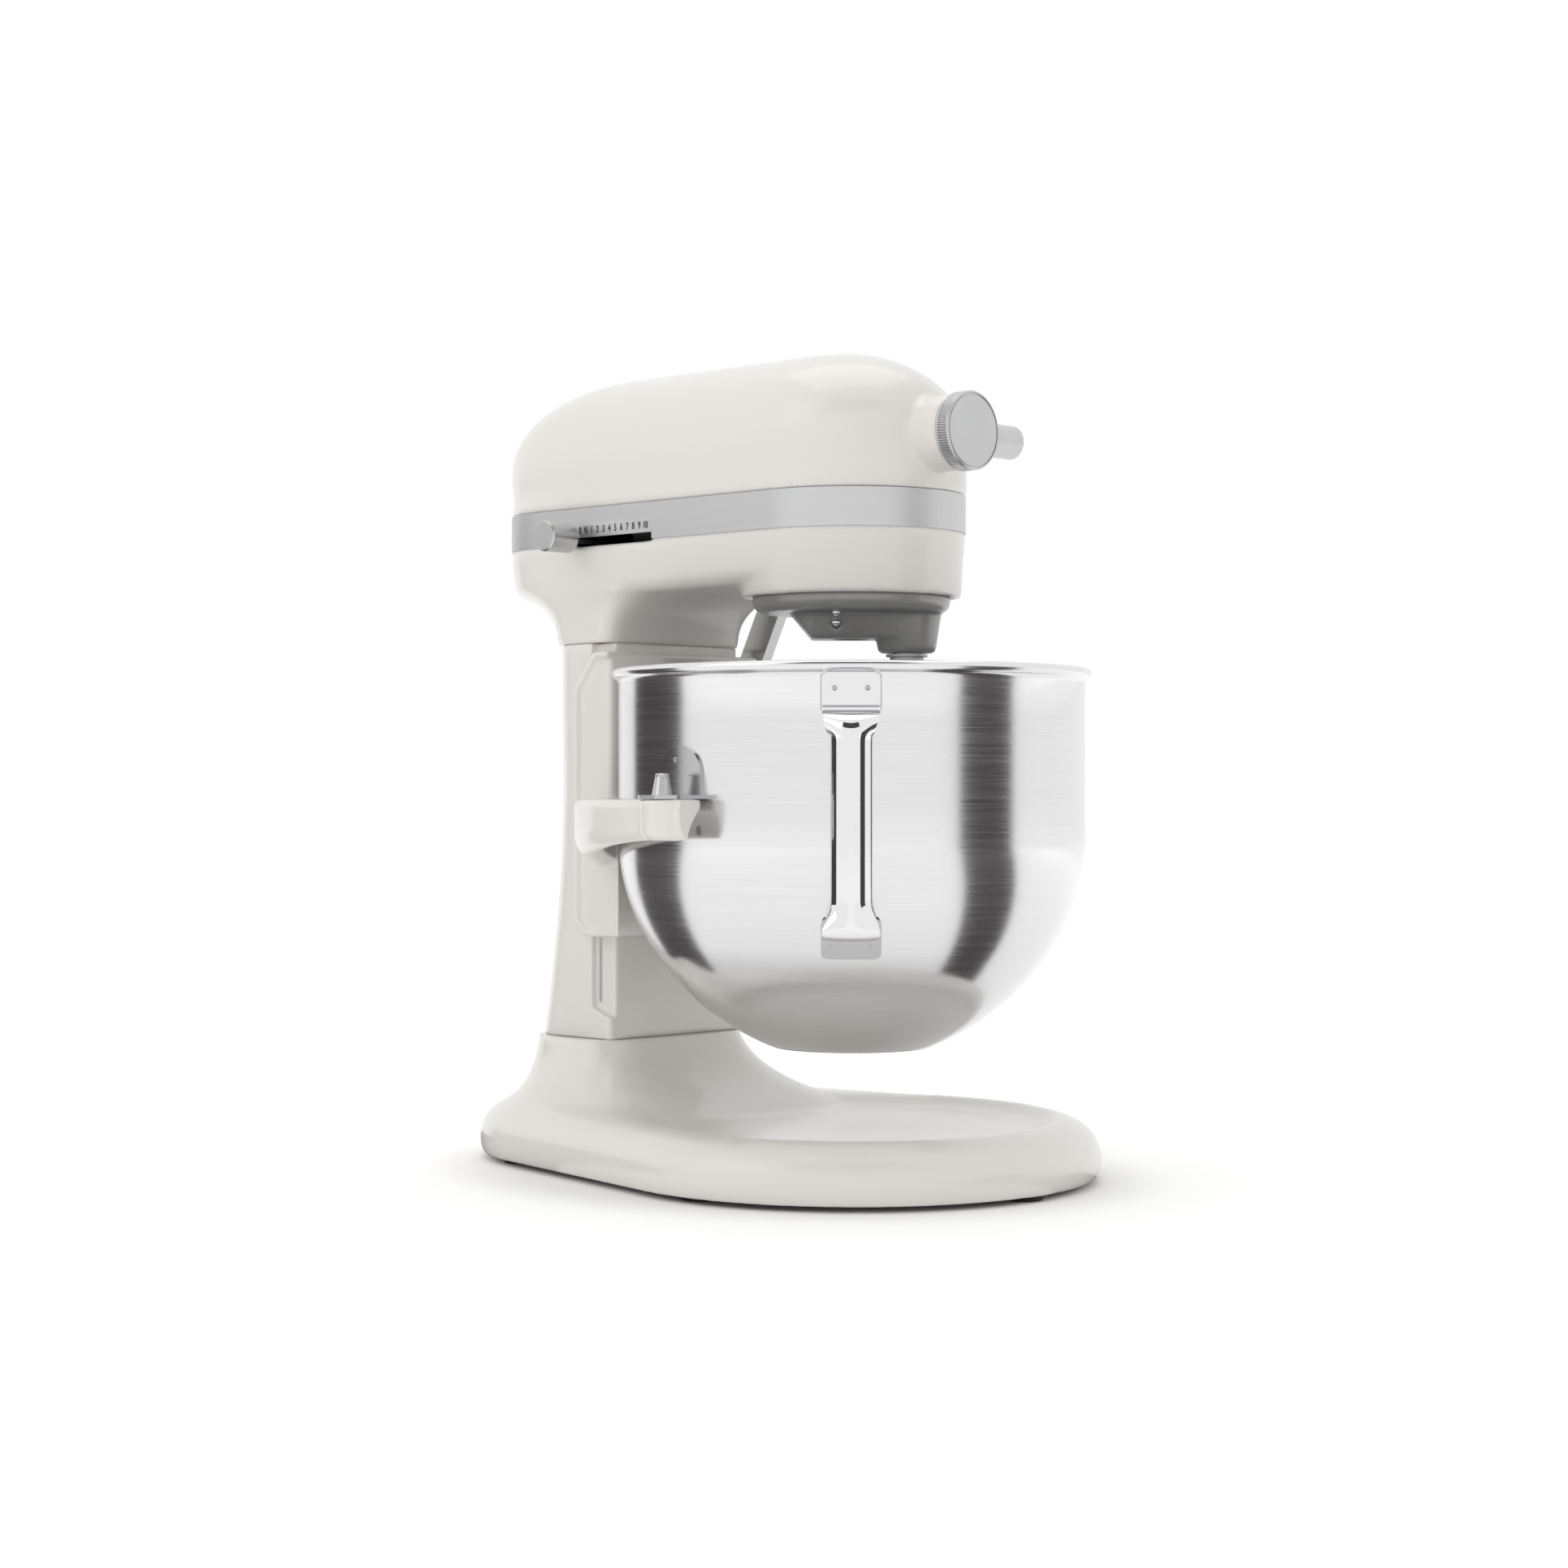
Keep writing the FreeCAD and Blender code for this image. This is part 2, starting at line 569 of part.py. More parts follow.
def bowl_handle():
    """A pressed strap, wider where it meets its two plates, with a raised edge down each side."""
    path = handle_path()
    wide = size("handle_wide") / 2
    thick = size("strap") / 2
    start = path.Edges[0].Vertexes[0].Point
    lip = thick + 1.1
    corners = [(-wide, -lip), (2.4 - wide, -lip), (3.6 - wide, -thick), (wide - 3.6, -thick),
               (wide - 2.4, -lip), (wide, -lip), (wide, lip), (wide - 2.4, lip), (wide - 3.6, thick),
               (3.6 - wide, thick), (2.4 - wide, lip), (-wide, lip)]
    profile = Part.makePolygon([start + V(deep, across, 0) for across, deep in corners + corners[:1]])
    grip = path.makePipeShell([profile], True, False)
    flare = size("plate_wide") / 2
    end_profile = Part.makePolygon([start + V(deep, across, 0) for across, deep in
                                    [(-flare, -thick), (flare, -thick), (flare, thick), (-flare, thick),
                                     (-flare, -thick)]])
    wide_strap = path.makePipeShell([end_profile], True, False)
    ears = [wide_strap.common(box((100, -20, size("handle_top") - 7), (128, 20, 260))),
            wide_strap.common(box((100, -20, 90), (117, 20, size("handle_low") - 5)))]
    grip = grip.multiFuse(ears).cut(bowl_skin(size("plate_thick") + 0.05))
    return turn_to_handle(biggest(grip))


def biggest(shape):
    return max(shape.Solids, key=lambda solid: solid.Volume)


def turn_to_handle(shape):
    shape.rotate(V(0, 0, 0), V(0, 0, 1), size("handle_turn"))
    return shape


def bowl_skin(proud):
    """The space that the bowl fills, grown by proud all round."""
    radius = size("bowl_rad") + proud
    foot = V(size("bowl_foot") + 0.37 * proud, 0, size("bowl_low") - 0.93 * proud)
    hip = V(size("hip_rad") + 0.81 * proud, 0, size("hip_z") - 0.59 * proud)
    knee = V(radius, 0, size("bowl_knee"))
    profile = Part.Wire([
        Part.LineSegment(V(0, 0, 60), foot).toShape(),
        arc_in_profile(foot, hip, size("bottom_bend") + proud),
        arc_in_profile(hip, knee, size("side_bend") + proud),
        Part.LineSegment(knee, V(radius, 0, size("rim_top"))).toShape(),
        Part.LineSegment(V(radius, 0, size("rim_top")), V(0, 0, size("rim_top"))).toShape(),
        Part.LineSegment(V(0, 0, size("rim_top")), V(0, 0, 60)).toShape(),
    ])
    return Part.Face(profile).revolve(V(0, 0, 0), V(0, 0, 1), 360)


def arc_in_profile(start, end, radius):
    """An arc in the X-Z plane that bulges out and down."""
    flat = arc_between(V(start.x, start.z, 0), V(end.x, end.z, 0), radius, -1)
    middle = flat.value((flat.FirstParameter + flat.LastParameter) / 2)
    return Part.Arc(start, V(middle.x, 0, middle.y), end).toShape()


def handle_plates():
    """Two spot-welded plates that hug the bowl's wall under the strap's ends."""
    shell = bowl_skin(size("plate_thick")).cut(bowl_skin(0.02))
    half = size("plate_wide") / 2
    upper = shell.common(box((90, -half, 226), (140, half, 249)))
    lower = shell.common(box((70, -half, 108), (140, half, 133)))
    return turn_to_handle(Part.makeCompound([biggest(upper), biggest(lower)]))


def bowl_brackets():
    """A round-topped plate on each side of the bowl with a tab that rests on the arm's pin."""
    pieces = []
    shell = bowl_skin(1.6).cut(bowl_skin(0.02))
    low = size("arm_top") + size("gap")
    for side in (-1, 1):
        arch = rod_y(13.5, -20, 20, 0, 204).fuse(box((-13.5, -20, low), (13.5, 20, 204)))
        arch.translate(V(-1.5, side * 118, 0))
        plate = biggest(shell.common(arch).common(box((-30, -150, low), (30, 150, 230))))
        tab = box((-13, min(side * 114, side * 132), low), (13, max(side * 114, side * 132), low + 1.8))
        tab = tab.fuse(Part.makeCylinder(13, 1.8, V(0, side * size("pin_reach") - side * 2, low)))
        tab = tab.common(box((-14, -142, low - 1), (14, 142, low + 4))).cut(bowl_skin(0.02))
        tab = tab.cut(lathe_tool(size("pin_rad") + 0.3, low - 1, low + 3, 0, side * size("pin_reach")))
        pieces.append(biggest(plate.fuse(tab)))
    return Part.makeCompound(pieces)


# ---- bowl support --------------------------------------------------------------------------------

def arm_section(angle, side):
    """One rounded section of an arm, in the upright plane at an angle round the bowl."""
    share = (156 - angle) / (156 - 83.0)
    inner = size("arm_inner") + 1.5
    outer = size("arm_outer") - 2.5 - 2.5 * share
    top = size("arm_top")
    low = 155 + 17 * min(share * 1.25, 1.0) ** 0.9
    turn = math.radians(angle) * side
    ray = V(math.cos(turn), math.sin(turn), 0)

    def at(reach, height):
        return V(ray.x * reach, ray.y * reach, height)

    belly = (outer - inner) * 0.55
    edges = [
        Part.LineSegment(at(inner, low + 3), at(inner, top)).toShape(),
        Part.LineSegment(at(inner, top), at(outer - 4, top)).toShape(),
        quarter(at(outer - 4, top), at(outer, top), at(outer, top - 4)),
        Part.LineSegment(at(outer, top - 4), at(outer, low + 11)).toShape(),
        quarter(at(outer, low + 11), at(outer, low), at(outer - belly, low)),
        Part.LineSegment(at(outer - belly, low), at(inner, low + 3)).toShape(),
    ]
    return Part.Wire(edges)


def bowl_support():
    """The sliding yoke: a plate that wraps the column's front, a belly and two arms with pads."""
    front = -size("plate_front")
    half = size("yoke_half")
    low = size("yoke_low")
    top = size("yoke_top")
    back = -size("flange_back")
    face_x = -size("column_front") + size("gap")
    side_in = size("column_half") - size("recess_depth") + size("gap")
    outline = [V(front, 0, low), V(front, 0, top), V(-132, 0, top), V(back, 0, top - 18),
               V(back, 0, low + 7.5), V(-140, 0, low)]
    shell = Part.Face(Part.makePolygon(outline + outline[:1])).extrude(V(0, 2 * (half + 3.5), 0))
    shell.translate(V(0, -half - 3.5, 0))
    shell = shell.makeFillet(3, [edge for edge in shell.Edges
                                 if abs(abs(edge.CenterOfMass.y) - half - 3.5) < 0.01])
    channel = box((-200, -side_in, low - 5), (face_x, side_in, top + 5))
    shoulders = box((-200, -size("column_half") - size("gap"), low - 5),
                    (-size("recess_back") + size("gap"), size("column_half") + size("gap"), top + 5))
    yoke = shell.cut(channel).cut(shoulders)
    pieces = [belly_block(front, low)]
    for side in (-1, 1):
        pieces.append(lofted([arm_section(angle, side) for angle in (83, 92, 104, 118, 132, 146, 156)]))
        pieces.append(arm_pad(side))
    yoke = yoke.multiFuse(pieces)
    clearance = lathe_tool(size("arm_inner"), 100, 300)
    yoke = yoke.cut(clearance).cut(arm_relief()).cut(channel).cut(shoulders)
    for side in (-1, 1):
        yoke = yoke.cut(lathe_tool(2.5, 174, 200, 0, side * size("pin_reach")))
    room = size("shaft_rad") + 1.5
    notch = box((-size("lever_x") - 20, 40, size("lever_z") - room), (room - size("lever_x"), 70, top))
    return yoke.cut(notch).removeSplitter()


def belly_block(front, low):
    """The rounded mass between the arms, hollowed to the bowl's clearance circle."""
    middle = box((front - 4, -62, low + 1), (front + 60, 62, size("arm_top")))
    ring = lathe_tool(size("arm_outer"), low + 1, size("arm_top"))
    middle = middle.common(ring)
    return middle


def arm_pad(side):
    """The round pad at an arm's end that carries a locating pin."""
    top = size("arm_top")
    radius = size("pad_rad")
    deep = 19.5
    pad_block = Part.makeCylinder(radius, deep, V(size("pad_x"), side * (size("arm_outer") - radius),
                                                  top - deep))
    return pad_block.makeFillet(6, [edge for edge in pad_block.Edges
                                    if edge.CenterOfMass.z < top - deep + 1 and edge.Length > 20])


def arm_relief():
    """The space under each arm's inner lip: a wider circle that runs out towards the rear."""
    shift = size("draw_back")
    back = size("arm_inner") + shift - 0.6
    lip = size("arm_top") - size("lip_deep")
    profile = Part.Wire([
        Part.LineSegment(V(0, 0, 100), V(back, 0, 100)).toShape(),
        Part.LineSegment(V(back, 0, 100), V(back, 0, lip - 12)).toShape(),
        Part.Arc(V(back, 0, lip - 12), V(back - 3.2, 0, lip - 4.5), V(back - shift - 1, 0, lip)).toShape(),
        Part.LineSegment(V(back - shift - 1, 0, lip), V(0, 0, lip)).toShape(),
        Part.LineSegment(V(0, 0, lip), V(0, 0, 100)).toShape(),
    ])
    relief = Part.Face(profile).revolve(V(0, 0, 0), V(0, 0, 1), 360)
    relief.translate(V(shift, 0, 0))
    return relief


def lift_carrier():
    """The yoke's tongue through the column's slot, with the cross slot for the crank's pin."""
    pin_x = -size("lever_x") - size("crank_rad") * math.sin(math.pi / 4)
    pin_z = size("lever_z") + size("crank_rad") * math.sin(math.pi / 4)
    tongue = box((pin_x - 13.8, -5.5, pin_z - 8), (-size("column_front") + 0.3, -0.5, pin_z + 8))
    free = size("crank_pin") + 1.1
    slot = box((pin_x - 12.2, -6, pin_z - free), (pin_x + free, 0, pin_z + free))
    return tongue.cut(slot)


# ---- gears ---------------------------------------------------------------------------------------

ADDENDUM = 0.85
DEDENDUM = 1.15
BACKLASH = 0.09
PRESSURE = math.tan(math.radians(20))


def tooth_corners(teeth, module, inner=False):
    """Radius and half angle at a tooth's root and tip, thinned for backlash."""
    radius = teeth * module / 2
    middle = math.pi / (2 * teeth) * (1 - BACKLASH)
    sign = -1 if inner else 1
    tip = (radius + sign * ADDENDUM * module, middle - ADDENDUM * module * PRESSURE / radius)
    root = (radius - sign * DEDENDUM * module, middle + DEDENDUM * module * PRESSURE / radius)
    return root, tip


def gear_wire(teeth, module, height, phase=0.0, inner=False):
    """The closed tooth outline of a spur gear in a level plane; phase turns it, in radians."""
    root, tip = tooth_corners(teeth, module, inner)
    points = []
    for index in range(teeth):
        centre = phase + 2 * math.pi * index / teeth
        for radius, angle in ((root[0], -root[1]), (tip[0], -tip[1]), (tip[0], tip[1]), (root[0], root[1])):
            points.append(V(radius * math.cos(centre + angle), radius * math.sin(centre + angle), height))
    return Part.makePolygon(points + points[:1])


def spur_gear(teeth, module, low, high, phase=0.0, lean=0.0):
    """A gear blank with its teeth; lean is the tooth's helix angle in radians."""
    twist = math.tan(lean) * (high - low) / (teeth * module / 2)
    if not lean:
        return Part.Face(gear_wire(teeth, module, low, phase)).extrude(V(0, 0, high - low))
    wires = [gear_wire(teeth, module, low, phase - twist / 2),
             gear_wire(teeth, module, high, phase + twist / 2)]
    return lofted(wires, True)


def bevel_gear(teeth, mates):
    """A bevel gear whose cone's apex is the origin; it faces the apex from the +Z side."""
    cone = size("bevel_cone")
    short = cone - size("bevel_face")
    lean = math.atan(teeth / mates)
    radius = cone * math.sin(lean)
    module = 2 * radius / teeth

    def at(distance, height, angle):
        """A point on the cone: distance from the apex, height above its pitch surface."""
        reach = distance * math.sin(lean) + height * math.cos(lean)
        level = distance * math.cos(lean) - height * math.sin(lean)
        return V(reach * math.cos(angle), reach * math.sin(angle), level)

    deep = -1.1 * module
    high = 0.7 * module
    middle = math.pi / (2 * teeth) * 0.84
    blank = Part.Face(Part.makePolygon([
        V(0, 0, at(short, deep, 0).z), at(short, deep, 0), at(cone, deep, 0),
        V(at(cone, deep, 0).x - 1.5, 0, at(cone, deep, 0).z + 2.5), V(0, 0, at(cone, deep, 0).z + 2.5),
        V(0, 0, at(short, deep, 0).z)])).revolve(V(0, 0, 0), V(0, 0, 1), 360)
    teeth_solids = []
    for index in range(teeth):
        centre = 2 * math.pi * index / teeth
        quads = []
        for distance in (short, cone):
            share = distance / cone
            foot = middle + 1.1 * PRESSURE * module / radius
            head = middle - 0.7 * PRESSURE * module / radius
            points = [at(distance, deep * share - 0.3, centre - foot),
                      at(distance, high * share, centre - head),
                      at(distance, high * share, centre + head),
                      at(distance, deep * share - 0.3, centre + foot)]
            quads.append(Part.makePolygon(points + points[:1]))
        teeth_solids.append(lofted(quads, True))
    return blank.multiFuse(teeth_solids)


def centre_bevel():
    """The bevel on the planetary's shaft, upside down under the hub's centre."""
    gear = bevel_gear(int(size("bevel_centre_teeth")), int(size("bevel_hub_teeth")))
    gear.rotate(V(0, 0, 0), V(1, 0, 0), 180)
    gear.translate(V(0, 0, size("hub_z")))
    return gear.cut(lathe_tool(6, 300, 400))


def hub_bevel():
    teeth = int(size("bevel_hub_teeth"))
    gear = bevel_gear(teeth, int(size("bevel_centre_teeth")))
    gear.rotate(V(0, 0, 0), V(0, 0, 1), 180 / teeth)
    gear.rotate(V(0, 0, 0), V(0, 1, 0), 90)
    gear.translate(V(0, 0, size("hub_z")))
    return gear.cut(rod_x(6, 0, 60, z=size("hub_z")))


def wheel_centre():
    """Where the worm wheel's upright axis stands."""
    reach = size("gear_module") * (size("centre_teeth") + size("pinion_teeth")) / 2
    y = -(size("gear_module") * size("wheel_teeth") / 2 + size("worm_rad"))
    return V(-math.sqrt(reach * reach - y * y), y, 0)


def worm_lean():
    return math.atan(size("gear_module") / 2 / size("worm_rad"))


def worm_wheel():
    centre = wheel_centre()
    teeth = int(size("wheel_teeth"))
    middle = size("motor_z")
    phase = math.pi / 2 + math.pi / teeth
    gear = spur_gear(teeth, size("gear_module"), middle - 4, middle + 4, phase, worm_lean())
    gear.translate(centre)
    return gear.cut(lathe_tool(5, 300, 400, centre.x, centre.y))


def drive_pinion():
    """The pinion under the worm wheel, in mesh with the centre gear's tooth space."""
    centre = wheel_centre()
    teeth = int(size("pinion_teeth"))
    toward = math.atan2(-centre.y, -centre.x)
    gear = spur_gear(teeth, size("gear_module"), 321.5, 332.5, toward + math.pi / teeth)
    gear.translate(centre)
    return gear.cut(lathe_tool(5, 300, 400, centre.x, centre.y))


def centre_gear():
    centre = wheel_centre()
    toward = math.atan2(centre.y, centre.x)
    gear = spur_gear(int(size("centre_teeth")), size("gear_module"), 322, 332, toward)
    return gear.cut(lathe_tool(size("centre_rad"), 300, 400))


def ring_gear():
    outline = gear_wire(int(size("ring_teeth")), size("ring_module"), 296,
                        math.pi / size("ring_teeth"), True)
    blank = Part.makeCylinder(size("case_bore") - 0.02, 11, V(0, 0, 296))
    return blank.cut(Part.Face(outline).extrude(V(0, 0, 11)))


def beater_place():
    """The beater shaft's axis at rest, on the side of the mixing axis that faces right of the front."""
    turn = math.radians(44)
    return V(size("offset") * math.cos(turn), size("offset") * math.sin(turn), 0), turn


def planet_pinion():
    place, turn = beater_place()
    teeth = int(size("planet_teeth"))
    phase = turn + math.pi / teeth + ring_offset(turn, teeth)
    gear = spur_gear(teeth, size("ring_module"), 297, 305.5, phase)
    gear.translate(place)
    return gear.cut(lathe_tool(size("beater_rad"), 290, 320, place.x, place.y))


def ring_offset(turn, teeth):
    """Turns the planet so that one of its spaces meets the ring's tooth nearest the mesh line."""
    pitch = 2 * math.pi / size("ring_teeth")
    nearest = round((turn - pitch / 2) / pitch) * pitch + pitch / 2
    return (nearest - turn) * size("ring_teeth") / teeth


def planetary():
    """The casting that swings the beater: a round dish with a deep wedge on the boss's side."""
    place, turn = beater_place()
    low = size("dish_low")
    radius = size("dish_r")
    edge = size("dish_edge")
    bend = edge * (1 - math.sqrt(0.5))
    profile = Part.Wire([
        Part.makePolygon([V(radius - edge, 0, low), V(0, 0, low), V(0, 0, 295), V(radius - 1.5, 0, 295),
                          V(radius, 0, 293.5), V(radius, 0, low + edge)]),
        Part.Arc(V(radius, 0, low + edge), V(radius - bend, 0, low + bend),
                 V(radius - edge, 0, low)).toShape()])
    dish = Part.Face(profile).revolve(V(0, 0, 0), V(0, 0, 1), 360)
    boss = Part.makeCone(14.5, 18, low + 3 - size("boss_low"), V(place.x, place.y, size("boss_low")))
    boss = boss.makeFillet(3, [rim for rim in boss.Edges
                               if abs(rim.CenterOfMass.z - size("boss_low")) < 0.01
                               and rim.Length > 40])
    sections = []
    floor = size("wedge_low")
    for reach, half, bottom in ((-30, 12, low - 1), (-20, 15.5, floor), (24, 15.5, floor)):
        points = [V(reach, -half - 3, low + 1), V(reach, half + 3, low + 1), V(reach, half, bottom + 0.5),
                  V(reach, half - 3, bottom), V(reach, 3 - half, bottom), V(reach, -half, bottom + 0.5)]
        sections.append(Part.makePolygon(points + points[:1]))
    wedge = lofted(sections, True)
    wedge.rotate(V(0, 0, 0), V(0, 0, 1), math.degrees(turn))
    casting = dish.fuse(boss).fuse(wedge)
    casting = casting.cut(lathe_tool(size("centre_rad"), 200, 300))
    bore = size("beater_rad") + size("running")
    casting = casting.cut(lathe_tool(bore, 200, 300, place.x, place.y))
    return biggest(casting.cut(planet_pins()))


# ---- the sub-parts -------------------------------------------------------------------------------

def build_stand():
    shaped("base_casting", base())
    shaped("column_casting", column())
    shaped("lower_housing", lower_housing())
    shaped("upper_housing", upper_housing())
    shaped("trim_band", trim_band())
    feet = [primitive("Cone", (str(x), str(y), "0"), Radius1="foot_rad", Radius2="foot_rad + 1.5",
                      Height="foot_high") for x, y in foot_places()]
    group("rubber_feet", feet)
    group("foot_posts", [rod("4", "12", (str(x), str(y), "foot_high")) for x, y in foot_places()])
    group("column_bolts", [long_bolt(x, y) for x, y in bolt_places()])
    group("housing_screws", [rod("2.5", "22", (str(x), str(y), "seam - 14")) for x, y in bolt_places()])
    build_guides()
    build_bearings()
    build_motor_frame()
    turned("cord_grommet", [("3.6", "0"), ("7", "0"), ("7", "2"), ("5.5", "3"), ("5.5", "8"), ("3.6", "8")],
           ("-cord_x", "0", "cord_z"), ALONG_X)


def long_bolt(x, y):
    """A bolt from under the base's deck up into the column's foot."""
    place = (str(x), str(y))
    bolt = doc.addObject("Part::Fuse", "long_bolt")
    bolt.Base = rod("3", "column_low + 13.5 - 14", place + ("14",))
    bolt.Tool = rod("5.5", "5.5", place + ("14",))
    return bolt


def build_guides():
    """Machined strips that the yoke's flanges run along."""
    inner = "column_half - recess_depth"
    pieces = [block("3", "0.25", "130", ("-recess_back + 0.6", start, "recess_low + 6"))
              for start in (inner, "-(" + inner + ") - 0.25")]
    group("guide_strips", pieces)


def build_bearings():
    tube("centre_bearing", "14", "centre_rad + running", "8", ("0", "0", "case_floor"))
    tube("hub_bearing", "hub_bore + 3", "7 + running", "8", ("31", "0", "hub_z"), ALONG_X)
    tube("hub_sleeve", "hub_bore + 3", "hub_bore", "32", ("40.2", "0", "hub_z"), ALONG_X)
    shaped("ring_gear", ring_gear())
    centre = wheel_centre()
    tube("wheel_bearing", "9", "5 + running", "4", (f"{centre.x:.4f}", f"{centre.y:.4f}", "deck_top + 0.2"))


def build_motor_frame():
    stator = [("25", "0"), ("32", "0"), ("34", "-6"), ("stator_rad", "-6"),
              ("stator_rad", "6 - stator_long"), ("34", "6 - stator_long"), ("32", "-stator_long"),
              ("25", "-stator_long")]
    turned("motor_stator", stator, ("-stator_front", "0", "motor_z"), ALONG_X)
    bracket = block("5", "84", "60", ("-174", "-42", "motor_z - 30"))
    bore = rod("10", "12", ("-178", "0", "motor_z"), ALONG_X)
    cut_away("motor_bracket", bracket, [bore])
    tube("rear_bearing", "10", "5 + running", "5", ("-174", "0", "motor_z"), ALONG_X)
    front = block("5", "84", "44", ("-60", "-42", "motor_z - 22"))
    front_bore = rod("11", "12", ("-64", "0", "motor_z"), ALONG_X)
    cut_away("gear_plate", front, [front_bore])
    tube("front_bearing", "11", "5 + running", "5", ("-60", "0", "motor_z"), ALONG_X)
    block_board = block("26", "66", "2", ("-210", "-33", "motor_z + 26"))
    united("control_board", [block_board, rod("4", "10", ("-200", "-20", "motor_z + 28")),
                             rod("4", "10", ("-200", "0", "motor_z + 28")),
                             block("14", "14", "8", ("-207", "12", "motor_z + 28"))])


def build_motor():
    turned("rotor_core", [("5", "0"), ("12", "0"), ("rotor_rad", "4"), ("rotor_rad", "50"), ("12", "54"),
                          ("5", "54")], ("-stator_front - 58", "0", "motor_z"), ALONG_X)
    tube("commutator", "12", "5", "14", ("-stator_front - 76", "0", "motor_z"), ALONG_X)
    shaped("worm_shaft", worm_shaft())
    shaped("cooling_fan", fan_blades())


def fan_blades():
    """A backplate with straight blades between the commutator and the rear bearing."""
    height = size("motor_z")
    plate = rod_x(30, -156.5, -155, z=height)
    blades = [plate]
    for index in range(12):
        blade = box((-164, -0.8, 12), (-156, 0.8, 30))
        blade.rotate(V(0, 0, 0), V(1, 0, 0), index * 30)
        blade.translate(V(0, 0, height))
        blades.append(blade)
    fan = blades[0].multiFuse(blades[1:])
    return fan.fuse(rod_x(12.5, -164, -155, z=height)).cut(rod_x(5, -170, -150, z=height))


def worm_shaft():
    """The motor's shaft with the worm cut at its front end."""
    pitch = math.pi * size("gear_module")
    turns = 7.5
    centre = wheel_centre()
    start = centre.x - turns / 2 * pitch
    root = size("worm_rad") - DEDENDUM * size("gear_module")
    tip = size("worm_rad") + ADDENDUM * size("gear_module")
    spine = Part.makeHelix(pitch, turns * pitch, root)
    narrow = pitch / 4 - ADDENDUM * size("gear_module") * PRESSURE - 0.22
    wide = pitch / 4 + DEDENDUM * size("gear_module") * PRESSURE - 0.1
    profile = Part.makePolygon([V(root - 0.4, 0, -wide), V(tip, 0, -narrow), V(tip, 0, narrow),
                                V(root - 0.4, 0, wide), V(root - 0.4, 0, -wide)])
    thread = Part.Wire(spine.Edges).makePipeShell([profile], True, True)
    core = Part.makeCylinder(root, turns * pitch + 5, V(0, 0, -2.5))
    worm = core.fuse(thread)
    worm.rotate(V(0, 0, 0), V(0, 1, 0), 90)
    worm.translate(V(start, 0, size("motor_z")))
    shaft = rod_x(5, -182, start + 1, z=size("motor_z"))
    return worm.fuse(shaft)


def build_transmission():
    centre = wheel_centre()
    shaped("worm_wheel", worm_wheel())
    shaped("drive_pinion", drive_pinion())
    place = (f"{centre.x:.4f}", f"{centre.y:.4f}", "deck_top + 0.2")
    turned("gear_shaft", [("0", "0"), ("5", "0"), ("5", "34"), ("0", "34")], place)


def build_planetary():
    shaped("planetary_casting", planetary())
    turned("centre_shaft", [("0", "dish_low + 0.5"), ("centre_rad", "dish_low + 0.5"),
                            ("centre_rad", "350.5"), ("6", "350.5"), ("6", "366"), ("0", "366")])
    shaped("centre_gear", centre_gear())
    shaped("centre_bevel", centre_bevel())
    shaped("planet_pins", planet_pins())


def planet_pins():
    """Two bright pin heads on the wedge's side."""
    turn = beater_place()[1]
    pins = []
    for height, side in ((288, -17), (279.3, -15.9)):
        pin = Part.makeSphere(size("pin_head"), V(-8, side, height))
        pin.rotate(V(0, 0, 0), V(0, 0, 1), math.degrees(turn))
        pins.append(pin)
    return Part.makeCompound(pins)


def build_beater_shaft():
    place = beater_place()[0]
    at = (f"{place.x:.4f}", f"{place.y:.4f}", "0")
    blank = doc.addObject("PartDesign::Body", "beater_blank")
    sketch = sketch_outline(blank, "beater_outline", "XZ_Plane",
                            [("0", "beater_low"), ("beater_rad - 1", "beater_low"),
                             ("beater_rad", "beater_low + 1"), ("beater_rad", "beater_high"),
                             ("0", "beater_high")])
    revolution = blank.newObject("PartDesign::Revolution", "beater_turning")
    revolution.Profile = sketch
    revolution.ReferenceAxis = (sketch, ["V_Axis"])
    revolution.Angle = 360
    cross = rod("1.8", "30", ("0", "-15", "cross_pin_z"), ALONG_Y)
    cut_away("beater_shaft", blank, [cross], at)
    group("drive_pin", [rod("1.8", "22", ("0", "-11", "cross_pin_z"), ALONG_Y)], at)
    shaped("planet_pinion", planet_pinion())
    rings = [tube_tool("10.5", "1.2", "263.2"), tube_tool("8.6", "1.6", "261.2")]
    group("shaft_washers", rings, at)


def tube_tool(outer, thick, low):
    """A washer on the beater shaft."""
    disc = rod(outer, thick, ("0", "0", low))
    hole = rod("beater_rad", "10", ("0", "0", low + " - 4"))
    washer = doc.addObject("Part::Cut", "washer")
    washer.Base = disc
    washer.Tool = hole
    return washer


def build_hub():
    shaped("hub_bevel", hub_bevel())
    shaft = rod("6", "16", ("8", "0", "0"), ALONG_X)
    journal = rod("7", "13", ("24", "0", "0"), ALONG_X)
    drive = block("22", "9.5", "9.5", ("37", "-4.75", "-4.75"))
    united("hub_shaft", [shaft, journal, drive], ("0", "0", "hub_z"))
    shaped("hub_cap", hub_cap())
    stem = [("0", "0"), ("4", "0"), ("4", "16"), ("5.5", "16"), ("knob_rad - 1", "17"),
            ("knob_rad", "18.5"), ("knob_rad", "37.5"), ("knob_rad - 1.5", "39"), ("0", "39")]
    turned("attachment_knob", stem, ("knob_x", "hub_bore + 3.3", "hub_z"), ALONG_Y)


